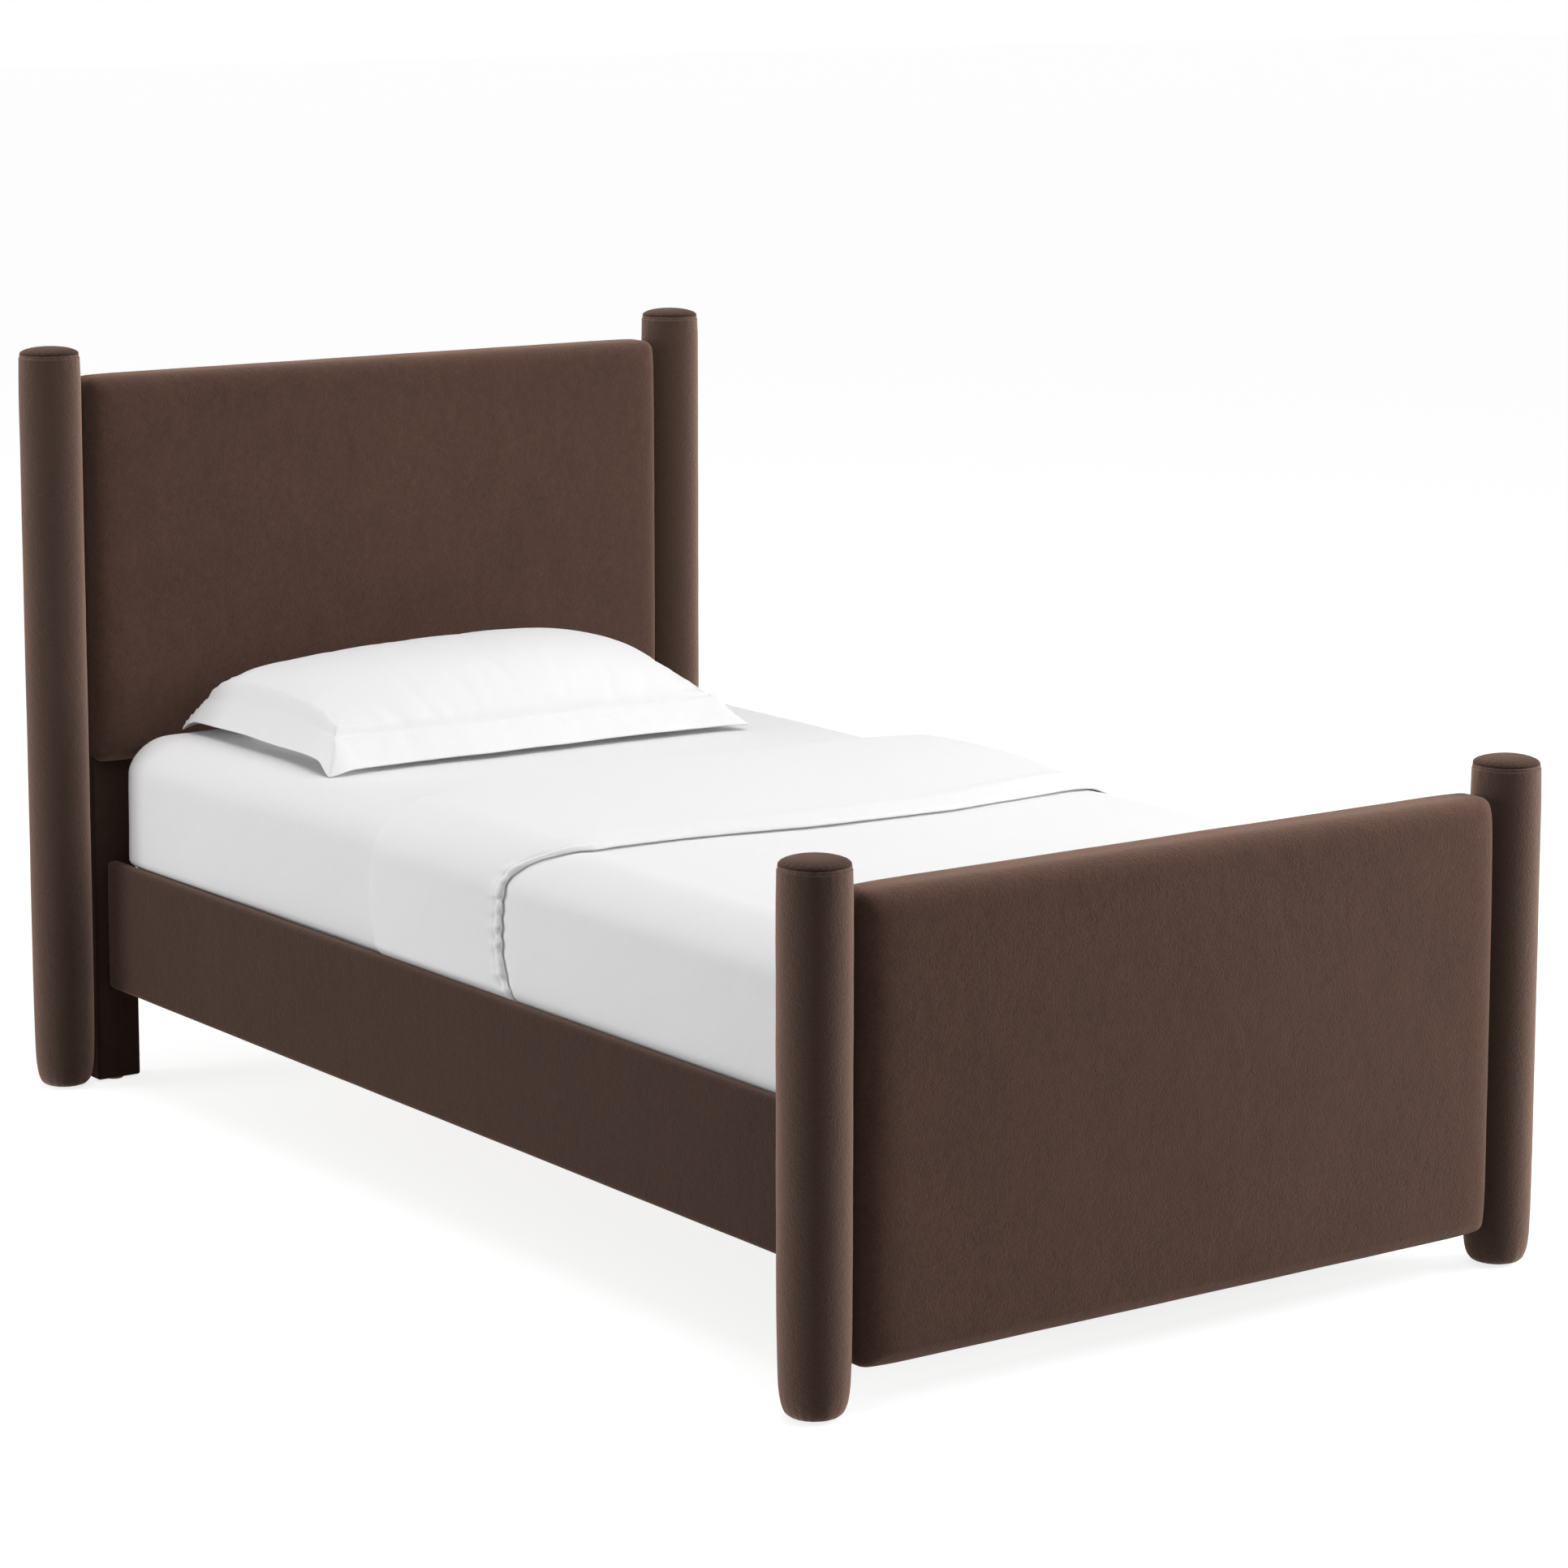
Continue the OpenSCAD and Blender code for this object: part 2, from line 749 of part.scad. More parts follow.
// Screws through the ledger into the rail board, between every other pair of slats
module ledger_screws(sx, grow) {
    for (i = [1:2:slat_n - 1])
        translate([sx * (rail_in - ledger_w), (slat_y(i) + slat_y(i + 1)) / 2, slat_z - ledger_h / 2])
            rotate([0, -sx * 90, 0]) screw(screw_d, screw_head_d, screw_l, grow);
}

module wood_screws() {
    color("goldenrod") {
        for (sx = [-1, 1]) ledger_screws(sx, 0);
        for (i = [1:slat_n], x = [-ledger_x, 0, ledger_x])
            translate([x, slat_y(i), slat_top - fit]) screw(screw_d, screw_head_d, screw_l, 0);
    }
}

// Slatted base

module slat(i) {
    half = rail_in - slat_gap;
    color("wheat") difference() {
        translate([-half, slat_y(i) - slat_w / 2, slat_z]) cube([2 * half, slat_w, slat_t]);
        for (x = [-ledger_x, 0, ledger_x])
            translate([x, slat_y(i), slat_top]) screw(screw_d, screw_head_d, screw_l, fit);
    }
}

module centre_rail() {
    color("tan") difference() {
        translate([-centre_w / 2, mat_y - ledger_l / 2, centre_z]) cube([centre_w, ledger_l, centre_h]);
        centre_studs(fit);
        for (i = [1:slat_n]) translate([0, slat_y(i), slat_top])
            screw(screw_d, screw_head_d, screw_l, fit);
    }
}

module centre_leg(i) {
    y = mat_y + (i - 2) * centre_leg_pitch;
    color("tan") difference() {
        translate([-centre_leg_w / 2, y - centre_leg_w / 2, leg_bottom])
            cube([centre_leg_w, centre_leg_w, centre_z - leg_bottom]);
        translate([0, y, 0]) {
            cylinder(d = stem_d + 2 * insert_wall + 2 * fit, h = leg_bottom + insert_l + fit);
            cylinder(d = stem_d + 2 * pocket, h = pad_t + stem_l + foot_gap);
        }
        centre_studs(fit);
    }
}

module threaded_inserts() {
    color("silver") for (i = [-1, 0, 1]) translate([0, mat_y + i * centre_leg_pitch, leg_bottom]) difference() {
        cylinder(d = stem_d + 2 * insert_wall, h = insert_l);
        translate([0, 0, -cut]) cylinder(d = stem_d + 2 * fit, h = insert_l + 2 * cut);
    }
}

module levelling_foot(i) {
    color("dimgray") translate([0, mat_y + (i - 2) * centre_leg_pitch, 0]) {
        cylinder(d = pad_d, h = pad_t);
        cylinder(d = stem_d, h = pad_t + stem_l);
    }
}

// Mattress and fitted sheet

// Side view of the mattress, grown by g, with upper corners rt and lower corners rb
module block_profile(half, zb, zt, rb, rt) {
    translate([-half, zb + rb]) square([2 * half, zt - rt - zb - rb]);
    translate([-half + rt, zb + rb]) square([2 * half - 2 * rt, zt - zb - rb]);
    translate([-half + rb, zb]) square([2 * half - 2 * rb, zt - rt - zb]);
    for (s = [-1, 1]) {
        translate([s * (half - rt), zt - rt]) circle(r = rt);
        translate([s * (half - rb), zb + rb]) circle(r = rb);
    }
}

module mattress() {
    rt = mattress_edge_r;
    rb = mattress_base_r;
    rc = mattress_corner_r;
    hw = mattress_w / 2;
    hl = mattress_l / 2;
    color("white") translate([0, mat_y, 0]) union() {
        rotate([90, 0, 0]) translate([0, 0, -hl + rc]) linear_extrude(2 * (hl - rc))
            block_profile(hw, slat_top, mat_top, rb, rt);
        rotate([90, 0, 90]) translate([0, 0, -hw + rc]) linear_extrude(2 * (hw - rc))
            block_profile(hl, slat_top, mat_top, rb, rt);
        for (sx = [-1, 1], sy = [-1, 1]) translate([sx * (hw - rc), sy * (hl - rc), 0])
            rotate_extrude() intersection() {
                block_profile(rc, slat_top, mat_top, rb, rt);
                translate([0, slat_top]) square([rc, mattress_h]);
            }
    }
}

// Fitted sheet: rings run from its hem up the sides and over the mattress's top edge,
// once outside and once inside at the clearance from the mattress

sheet_step = 10;
sheet_m = 4 * (90 / sheet_step + 1);
sheet_n = 90 / sheet_step + 2;
function sheet_ring(g, inset, z) =
    let (
        r = mattress_corner_r + g - inset,
        hw = mattress_w / 2 - mattress_corner_r,
        hl = mattress_l / 2 - mattress_corner_r
    )
    [for (q = [0:3], a = [0:sheet_step:90]) [
        (q == 0 || q == 3 ? hw : -hw) + r * cos(90 * q + a),
        mat_y + (q < 2 ? hl : -hl) + r * sin(90 * q + a),
        z
    ]];
function sheet_rings(g) =
    let (r = mattress_edge_r + g)
    concat(
        sheet_ring(g, 0, slat_top + sheet_hem),
        [for (a = [0:sheet_step:90])
            each sheet_ring(g, r * (1 - cos(a)), mat_top - mattress_edge_r + r * sin(a))]
    );

module fitted_sheet() {
    m = sheet_m;
    o = sheet_m * sheet_n;
    top = o - m;
    walls = [for (i = [0:sheet_n - 2], j = [0:m - 1]) [i * m + j, i * m + (j + 1) % m]];
    faces = concat(
        [for (w = walls) [w[0], w[0] + m, w[1] + m]],
        [for (w = walls) [w[0], w[1] + m, w[1]]],
        [for (w = walls) [o + w[0], o + w[1] + m, o + w[0] + m]],
        [for (w = walls) [o + w[0], o + w[1], o + w[1] + m]],
        [for (j = [0:m - 1]) [j, (j + 1) % m, o + (j + 1) % m]],
        [for (j = [0:m - 1]) [j, o + (j + 1) % m, o + j]],
        [[for (j = [m - 1:-1:0]) top + j]],
        [[for (j = [0:m - 1]) o + top + j]]
    );
    pts = concat(sheet_rings(sheet_t), sheet_rings(sheet_fit));
    color("whitesmoke") polyhedron(points = pts, faces = faces, convexity = 4);
}

// Bed cover with its turned down band. Stations run from the left side hem up, over
// the mattress and down to the right side hem. Each holds [x, z, normal x, normal z, way].

cov_g = sheet_t + soft_fit;
cov_r = mattress_edge_r + cov_g;
cov_a = mattress_w / 2 + cov_g;
cov_top = mat_top + cov_g;
cov_low = slat_top + cover_hem;
cov_arc = cov_r * PI / 2;
arc_step = 15;
tuck_low = rail_top + tuck_zone[0];
tuck_high = rail_top + tuck_zone[1];
side_z = [cov_low, tuck_low, tuck_high, (tuck_high + cov_top - cov_r) / 2];
top_x = [for (k = [1:9]) (k / 10 - 0.5) * 2 * (cov_a - cov_r)];
half_way = cov_a - cov_r + cov_arc;
left_side = [for (z = side_z) [-cov_a, z, -1, 0, -(half_way + cov_top - cov_r - z)]];
left_arc = [for (a = [0:arc_step:90]) [
    -(cov_a - cov_r) - cov_r * cos(a), cov_top - cov_r + cov_r * sin(a), -cos(a), sin(a),
    -(cov_a - cov_r) - cov_arc * (90 - a) / 90
]];
top_run = [for (x = top_x) [x, cov_top, 0, 1, x]];
function flip(s) = [-s[0], s[1], -s[2], s[3], -s[4]];
right_arc = [for (k = [len(left_arc) - 1:-1:0]) flip(left_arc[k])];
right_side = [for (k = [len(left_side) - 1:-1:0]) flip(left_side[k])];
stations = concat(left_side, left_arc, top_run, right_arc, right_side);

foot_turn = mat_foot + mattress_edge_r;
hem_low = half_way + hem_slope_start;
function drawn(w, reach) = smooth(reach[0], reach[1], abs(w) / half_way);
function hem_wave(w, n) = hem_waves[n][0] * sin(w * hem_waves[n][1] + hem_waves[n][2]);
function fold_at(w) = fold_y - fold_in * drawn(w, fold_reach);
function hem_at(w) = -hem_y + (w < 0 ? hem_in_left : hem_in_right) * drawn(w, hem_reach)
    + hem_wave(w, 0) + hem_wave(w, 1) - hem_slope * max(0, abs(w) - hem_low);
// The cover thins out where it is tucked behind the rail
function tucked(z) = smooth(tuck_low, tuck_high, z);
function body_t(z) = tuck_t + (cover_t - tuck_t) * tucked(z);
function over_t(z) = tuck_t + (band_t - tuck_t) * tucked(z);

// Place of a point: station s, way y along the bed, height t off the mattress
function cov_pt(s, y, t) =
    y >= foot_turn ? [s[0] + s[2] * t, y, s[1] + s[3] * t] :
    let (a = min(wrap_angle, (foot_turn - y) / cov_r * 180 / PI), q = (cov_r + t) * cos(a) - cov_r)
    [s[0] + s[2] * q, foot_turn - (cov_r + t) * sin(a), s[1] + s[3] * q];

cov_end = foot_turn - cov_r * wrap_angle / 180 * PI;
// Steps of a loop down the foot of the mattress, round the fold and along the band
foot_n = 4;
fold_n = 6;
band_n = 6;
cov_foot = [for (k = [0:foot_n]) foot_turn + (cov_end - foot_turn) * k / foot_n];

// One station's loop: under side to the head, round the fold, back along the band to its
// hem, in under the band, and along the cover's face to the foot
function cov_loop(s) =
    let (
        yf = fold_at(s[4]), yh = hem_at(s[4]),
        t1 = body_t(s[1]), t2 = over_t(s[1]), g = soft_fit,
        all = t1 + g + t2, y0 = yf - all / 2, bulge = band_crown * tucked(s[1])
    )
    concat(
        [for (k = [foot_n:-1:0]) cov_pt(s, cov_foot[k], 0)],
        [for (a = [-90:180 / fold_n:90]) cov_pt(s, y0 + all / 2 * cos(a), all / 2 * (1 + sin(a)))],
        [for (k = [1:band_n]) let (f = k / (band_n + 1))
            cov_pt(s, y0 + (yh + band_nose - y0) * f, all + bulge * sin(180 * f))],
        [cov_pt(s, yh + band_nose, all), cov_pt(s, yh + band_nose / 4, all - t2 / 3)],
        [cov_pt(s, yh, all - t2 * 2 / 3), cov_pt(s, yh + band_nose / 2, t1 + g)],
        [cov_pt(s, y0 - band_nose, t1 + g), cov_pt(s, y0 - band_nose, t1)],
        [cov_pt(s, yh + band_nose / 2, t1)],
        [for (k = [0:foot_n]) cov_pt(s, cov_foot[k], t1)]
    );

cov_loops = [for (s = stations) cov_loop(s)];
cov_m = len(cov_loops[0]);
cov_n = len(cov_loops);
// Places in a loop: the fold's first and last point, the slit's end, and the face's first point
at_fold = foot_n + 1;
at_band = at_fold + fold_n;
at_slit = at_band + band_n + 5;
at_face = at_slit + 3;
mid_fold = at_fold + fold_n / 2;
mid_band = at_band + band_n / 2;
function run(a, b) = [for (k = [a:b]) k];
function fan(c, rim) = [for (k = [1:len(rim) - 1]) [c, rim[k - 1], rim[k]]];
// A loop's end is closed layer by layer, so that no face crosses the slit under the band
cov_end_faces = concat(
    [for (k = [1:foot_n]) [foot_n - k, foot_n - k + 1, at_face + k - 1]],
    [for (k = [1:foot_n]) [foot_n - k, at_face + k - 1, at_face + k]],
    fan(foot_n, [at_fold, at_slit + 1, at_slit + 2, at_face]),
    fan(at_slit + 1, concat(run(at_fold, mid_fold), at_slit)),
    fan(at_slit, concat(run(mid_fold, mid_band), at_slit - 1)),
    fan(at_slit - 1, run(mid_band, at_slit - 2))
);

module bed_cover() {
    pts = [for (l = cov_loops) each l];
    faces = concat(
        [for (i = [0:cov_n - 2], j = [0:cov_m - 1]) let (k = (j + 1) % cov_m)
            [i * cov_m + j, (i + 1) * cov_m + k, i * cov_m + k]],
        [for (i = [0:cov_n - 2], j = [0:cov_m - 1]) let (k = (j + 1) % cov_m)
            [i * cov_m + j, (i + 1) * cov_m + j, (i + 1) * cov_m + k]],
        cov_end_faces,
        [for (f = cov_end_faces) [for (v = [2:-1:0]) (cov_n - 1) * cov_m + f[v]]]
    );
    color("snow") polyhedron(points = pts, faces = faces, convexity = 8);
}

// Pillow in a flanged case: a grid of crowned top and belly inside a flat flange

pil_n = 18;
pil_m = 14;
// Hanging from its stitch line, the flange reaches less far out than it is wide
flange_out = flange_w * cos(flange_tilt);
pil_a = pillow_w / 2;
pil_b = pillow_d / 2;
seam_z = flange_lift + flange_w * sin(flange_tilt);
// Stations across and along: the flange's edge, its stitch line, then the crown
function pil_steps(half, n) = concat(
    [-half, -half + flange_out],
    [for (k = [1:n - 1]) -(half - flange_out) * cos(180 * k / n)],
    [half - flange_out, half]
);
pil_u = pil_steps(pil_a, pil_n);
pil_v = pil_steps(pil_b, pil_m);
function pil_in(u, half) = pow(min(1, abs(u) / (half - flange_out)), pillow_square);
function pil_full(u, v, p) = pow(max(0, (1 - pil_in(u, pil_a)) * (1 - pil_in(v, pil_b))), p);
// 0 at the stitch line and 1 at the flange's edge
function pil_droop(u, v) = max(0, (abs(u) - pil_a) / flange_out + 1, (abs(v) - pil_b) / flange_out + 1);
function pil_corner(u, v) = pow(u / pil_a * v / pil_b, 2);
function pil_seam(u, v) =
    let (c = pil_corner(u, v), high = seam_z * (1 - corner_sag * c), low = flange_t + flange_lift * (1 - c))
    high + (low - high) * pil_droop(u, v);
// The sides are drawn in between the corners
function pil_x(u, v) = u * (1 - pillow_draw / pil_a * (1 - pow(v / pil_b, 2)));
function pil_y(u, v) = v * (1 - pillow_draw / pil_b * (1 - pow(u / pil_a, 2)));
function pil_top(u, v) = pil_seam(u, v) + flange_t / 2 + pillow_crown * pil_full(u, v, crown_swell);
function pil_low(u, v) = max(0, pil_seam(u, v) - flange_t / 2 - 2 * seam_z * pil_full(u, v, belly_swell));

module pillow() {
    n = len(pil_u);
    m = len(pil_v);
    top = [for (u = pil_u, v = pil_v) [pil_x(u, v), pil_y(u, v), pil_top(u, v)]];
    low = [for (u = pil_u, v = pil_v) [pil_x(u, v), pil_y(u, v), pil_low(u, v)]];
    o = n * m;
    rim = concat(
        [for (j = [0:m - 2]) [j, j + 1]],
        [for (i = [0:n - 2]) [i * m + m - 1, (i + 1) * m + m - 1]],
        [for (j = [m - 1:-1:1]) [(n - 1) * m + j, (n - 1) * m + j - 1]],
        [for (i = [n - 1:-1:1]) [i * m, (i - 1) * m]]
    );
    faces = concat(
        [for (i = [0:n - 2], j = [0:m - 2]) [i * m + j, i * m + j + 1, (i + 1) * m + j + 1]],
        [for (i = [0:n - 2], j = [0:m - 2]) [i * m + j, (i + 1) * m + j + 1, (i + 1) * m + j]],
        [for (i = [0:n - 2], j = [0:m - 2]) [o + i * m + j, o + (i + 1) * m + j + 1, o + i * m + j + 1]],
        [for (i = [0:n - 2], j = [0:m - 2]) [o + i * m + j, o + (i + 1) * m + j, o + (i + 1) * m + j + 1]],
        [for (e = rim) [e[0], o + e[0], o + e[1]]],
        [for (e = rim) [e[0], o + e[1], e[1]]]
    );
    back = clear_y - head_gap - pil_b - abs(sin(pillow_turn)) * pil_a - cut;
    color("ghostwhite") translate([pillow_x, back, mat_top + sheet_t + fit]) rotate([0, 0, pillow_turn])
        polyhedron(points = concat(top, low), faces = faces, convexity = 6);
}

post_core(-1, 1, head_post_h);  // head_post_left_core
post_cover(-1, 1, head_post_h);  // head_post_left_cover
post_cap(-1, 1, head_post_h);  // head_post_left_cap
post_core(1, 1, head_post_h);  // head_post_right_core
post_cover(1, 1, head_post_h);  // head_post_right_cover
post_cap(1, 1, head_post_h);  // head_post_right_cap
post_core(-1, -1, foot_post_h);  // foot_post_left_core
post_cover(-1, -1, foot_post_h);  // foot_post_left_cover
post_cap(-1, -1, foot_post_h);  // foot_post_left_cap
post_core(1, -1, foot_post_h);  // foot_post_right_core
post_cover(1, -1, foot_post_h);  // foot_post_right_cover
post_cap(1, -1, foot_post_h);  // foot_post_right_cap
floor_glides();
head_leg_core(-1);  // head_leg_left_core
head_leg_cover(-1);  // head_leg_left_cover
head_leg_core(1);  // head_leg_right_core
head_leg_cover(1);  // head_leg_right_cover
headboard_board();
headboard_foam();
headboard_cover();
footboard_board();
footboard_foam();
footboard_cover();
footboard_blocks();
studs();
rail_board(-1);  // rail_left_board
rail_cover(-1);  // rail_left_cover
rail_ledger(-1);  // rail_left_ledger
rail_board(1);  // rail_right_board
rail_cover(1);  // rail_right_cover
rail_ledger(1);  // rail_right_ledger
hook_plates();
slot_plates();
plate_screws();
wood_screws();
slat(1);  // slat_01
slat(2);  // slat_02
slat(3);  // slat_03
slat(4);  // slat_04
slat(5);  // slat_05
slat(6);  // slat_06
slat(7);  // slat_07
slat(8);  // slat_08
slat(9);  // slat_09
slat(10);  // slat_10
slat(11);  // slat_11
slat(12);  // slat_12
centre_rail();
centre_leg(1);  // centre_leg_1
centre_leg(2);  // centre_leg_2
centre_leg(3);  // centre_leg_3
threaded_inserts();
levelling_foot(1);  // levelling_foot_1
levelling_foot(2);  // levelling_foot_2
levelling_foot(3);  // levelling_foot_3
mattress();
fitted_sheet();
bed_cover();
pillow();
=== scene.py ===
import math

import bmesh
import bpy
import numpy as np
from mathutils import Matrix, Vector, noise


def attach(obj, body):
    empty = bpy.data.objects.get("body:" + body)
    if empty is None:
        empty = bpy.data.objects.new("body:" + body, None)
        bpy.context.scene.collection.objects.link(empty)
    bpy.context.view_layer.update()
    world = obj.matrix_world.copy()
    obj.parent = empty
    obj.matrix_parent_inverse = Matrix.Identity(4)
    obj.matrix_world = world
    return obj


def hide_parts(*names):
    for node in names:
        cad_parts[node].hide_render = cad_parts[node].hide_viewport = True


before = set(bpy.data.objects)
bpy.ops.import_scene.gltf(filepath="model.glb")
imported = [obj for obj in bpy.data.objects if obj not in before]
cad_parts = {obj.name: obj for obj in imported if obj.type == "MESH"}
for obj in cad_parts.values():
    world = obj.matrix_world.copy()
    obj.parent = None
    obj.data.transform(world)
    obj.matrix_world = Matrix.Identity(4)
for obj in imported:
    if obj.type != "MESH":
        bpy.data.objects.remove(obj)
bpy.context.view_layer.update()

# Camera and studio: a long lens from the foot end and the bed's left side, a little above the
# bedding, shifted so that upright edges stay nearly parallel. A pale floor runs into white under
# three large soft lamps and an even sky.

camera = bpy.data.objects.new("view", bpy.data.cameras.new("view"))
camera.data.lens = 108.44
camera.data.sensor_width = 36
camera.data.shift_y = -0.12
camera.data.clip_end = 80
look_down, look_right = 0.14874, 0.61999
camera.location = (-3.93984, -5.65484, 1.89995)
camera.rotation_euler = (math.radians(90) - look_down, 0, -look_right)
bpy.context.scene.collection.objects.link(camera)
bpy.context.scene.camera = camera
bpy.context.scene.view_settings.view_transform = "Standard"


class Wire:
    """A value in a finish's node tree; sums on it add Math nodes."""

    def __init__(self, tree, socket):
        self.tree, self.socket = tree, socket

    def sum(self, operation, *values):
        """One Math node over numbers and wires."""
        node = self.tree.nodes.new("ShaderNodeMath")
        node.operation = operation
        for socket, value in zip(node.inputs, values):
            if isinstance(value, Wire):
                self.tree.links.new(value.socket, socket)
            else:
                socket.default_value = value
        return Wire(self.tree, node.outputs[0])

    def __add__(self, other):
        return self.sum("ADD", self, other)

    def __sub__(self, other):
        return self.sum("SUBTRACT", self, other)

    def __rsub__(self, other):
        return self.sum("SUBTRACT", other, self)

    def __mul__(self, other):
        return self.sum("MULTIPLY", self, other)

    __radd__ = __add__
    __rmul__ = __mul__


class Finish:
    """A material and its nodes. Settings are set first, then values or wires go in."""

    def __init__(self, name, owner=None, **fixed):
        self.owner = owner or bpy.data.materials.new(name)
        self.owner.use_nodes = True
        self.tree = self.owner.node_tree
        self.shader = self.tree.nodes.get("Principled BSDF")
        for label, value in fixed.items():
            self.shader.inputs[label.replace("_", " ")].default_value = value

    def node(self, kind, settings=(), inputs=(), output=0):
        """A shader node with its settings and inputs, as the wire of one output."""
        node = self.tree.nodes.new("ShaderNode" + kind)
        for label, value in dict(settings).items():
            if label == "stops":
                ramp = node.color_ramp.elements
                while len(ramp) < len(value):
                    ramp.new(0.5)
                for stop, (place, grey) in zip(ramp, value):
                    stop.position = place
                    stop.color = (grey, grey, grey, 1)
            else:
                setattr(node, label, value)
        for label, value in dict(inputs).items():
            self.feed(node.inputs[label], value)
        return Wire(self.tree, node.outputs[output])

    def feed(self, socket, value):
        if isinstance(value, Wire):
            self.tree.links.new(value.socket, socket)
        else:
            socket.default_value = value

    def mix(self, factor, one, two):
        """From one colour at 0 to two at 1."""
        one, two = [(*c, 1) if isinstance(c, tuple) and len(c) == 3 else c for c in (one, two)]
        return self.node("Mix", {"data_type": "RGBA"}, {0: factor, 6: one, 7: two}, 2)

    def place(self, scale=(1, 1, 1)):
        """Where on the piece the finish lies, in metres."""
        where = self.node("TexCoord", output=3)
        return self.node("VectorMath", {"operation": "MULTIPLY"}, {0: where, 1: scale})

    def grain(self, scale, vector=None, detail=3.0, twist=0.0):
        """Soft noise from 0 to 1."""
        where = vector or self.place()
        return self.node("TexNoise", inputs={
            "Vector": where, "Scale": scale, "Detail": detail, "Distortion": twist})

    def relief(self, height, depth, strength=1.0):
        """Bumps too fine to model."""
        bump = self.node("Bump", inputs={"Height": height, "Distance": depth, "Strength": strength})
        self.feed(self.shader.inputs["Normal"], bump)


def seen_share(finish):
    """One where the camera, glass or metal sees the surface, and nothing where it lights others."""
    path = finish.tree.nodes.new("ShaderNodeLightPath")
    straight, mirrored, through = [Wire(finish.tree, path.outputs["Is %s Ray" % kind])
                                   for kind in ("Camera", "Glossy", "Transmission")]
    return straight.sum("MAXIMUM", straight.sum("MAXIMUM", straight, mirrored), through)


far_off = 40
floor_corners = [(x * far_off, y * far_off, 0) for x, y in ((-1, -1), (1, -1), (1, 1), (-1, 1))]
floor_mesh = bpy.data.meshes.new("floor")
floor_mesh.from_pydata(floor_corners, [], [(0, 1, 2, 3)])
floor = bpy.data.objects.new("floor", floor_mesh)
bpy.context.scene.collection.objects.link(floor)
pale_floor = Finish("pale_floor", Base_Color=(0.50, 0.50, 0.50, 1), Roughness=0.9)
pale_floor.shader.inputs["Specular IOR Level"].default_value = 0.1
pale_floor.shader.inputs["Emission Color"].default_value = (1, 1, 1, 1)
pale_floor.feed(pale_floor.shader.inputs["Emission Strength"], seen_share(pale_floor) * 0.80)
floor_mesh.materials.append(pale_floor.owner)

world = bpy.data.worlds.new("sky")
bpy.context.scene.world = world
sky = Finish("sky", owner=world)
background = sky.tree.nodes["Background"]
sky_light = 0.30
background.inputs["Color"].default_value = (1, 1, 1, 1)
sky.feed(background.inputs["Strength"], seen_share(sky) * (1 - sky_light) + sky_light)


def soft_lamp(name, place, aim, size, watts):
    """A large flat lamp turned towards a place."""
    lamp = bpy.data.objects.new(name, bpy.data.lights.new(name, "AREA"))
    lamp.data.shape = "RECTANGLE"
    lamp.data.size, lamp.data.size_y = size
    lamp.data.energy = watts
    lamp.location = place
    lamp.rotation_euler = (Vector(aim) - Vector(place)).to_track_quat("-Z", "Y").to_euler()
    bpy.context.scene.collection.objects.link(lamp)


soft_lamp("overhead", (0.4, -0.7, 4.2), (0, -0.1, 0.4), (3.4, 4.0), 95)
soft_lamp("right_side", (3.2, -2.7, 2.0), (0, -0.4, 0.5), (2.2, 2.2), 100)
soft_lamp("left_side", (-7.0, 3.5, 1.6), (0, -0.1, 0.5), (3.4, 3.2), 272)

# Post covers: four round posts of turned timber, wrapped in thin padding and brown velvet. The
# velvet is gathered and turned under at the floor, drawn in below the cap, and closed by one
# upright blind seam that faces the head end and a little outwards.


def velvet(name, painted_light_level=1.0, glance=1.0):
    """Short pile: dark face on, lighter at a glance, with brushed patches and fine fibres."""
    finish = Finish(name, Roughness=0.9, Sheen_Weight=glance, Sheen_Roughness=0.58,
                    Sheen_Tint=(0.98, 0.65, 0.51, 1))
    finish.shader.inputs["Specular IOR Level"].default_value = 0.08
    # painted_light_level scales the base colour of each copy of the one velvet: below one it is
    # painted shade, above one painted light.
    dark = (0.0100 * painted_light_level, 0.0046 * painted_light_level, 0.0034 * painted_light_level)
    light = (0.039 * painted_light_level, 0.0190 * painted_light_level, 0.0138 * painted_light_level)
    patches = finish.grain(5.0, detail=2, twist=0.6)
    brushed = finish.grain(17.0, finish.place((1, 1, 0.4)), detail=4, twist=1.2)
    nap = finish.grain(75, detail=4, twist=0.5)
    pile = finish.grain(330, detail=2)
    fibre = finish.grain(1500, detail=1)
    mask = patches * 0.3 + brushed * 0.45 + nap * 0.6 + pile * 0.7 + fibre * 0.4 - 0.75
    finish.feed(finish.shader.inputs["Base Color"], finish.mix(mask, dark, light))
    finish.relief(nap * 0.7 + pile * 0.8 + fibre * 0.4, 0.0012, 0.85)
    return finish.owner


# Posts: base colour at 0.72, painted shade that darkens the faces turned towards the camera.
velvet_posts = velvet("velvet_posts", 0.72, 1.0)


def smooth_step(low, high, value):
    """From 0 at low to 1 at high, level at both."""
    share = np.clip((np.asarray(value, float) - low) / (high - low), 0, 1)
    return share * share * (3 - 2 * share)


def ripple(points, scale, seed):
    """Smooth noise, about -1 to 1, at each point."""
    shift = Vector((seed * 7.13 + 0.37, seed * 3.71 + 0.61, seed * 5.93 + 0.23))
    places = [Vector(p) * scale + shift for p in points]
    return np.array([noise.noise(place, noise_basis="PERLIN_NEW") for place in places])


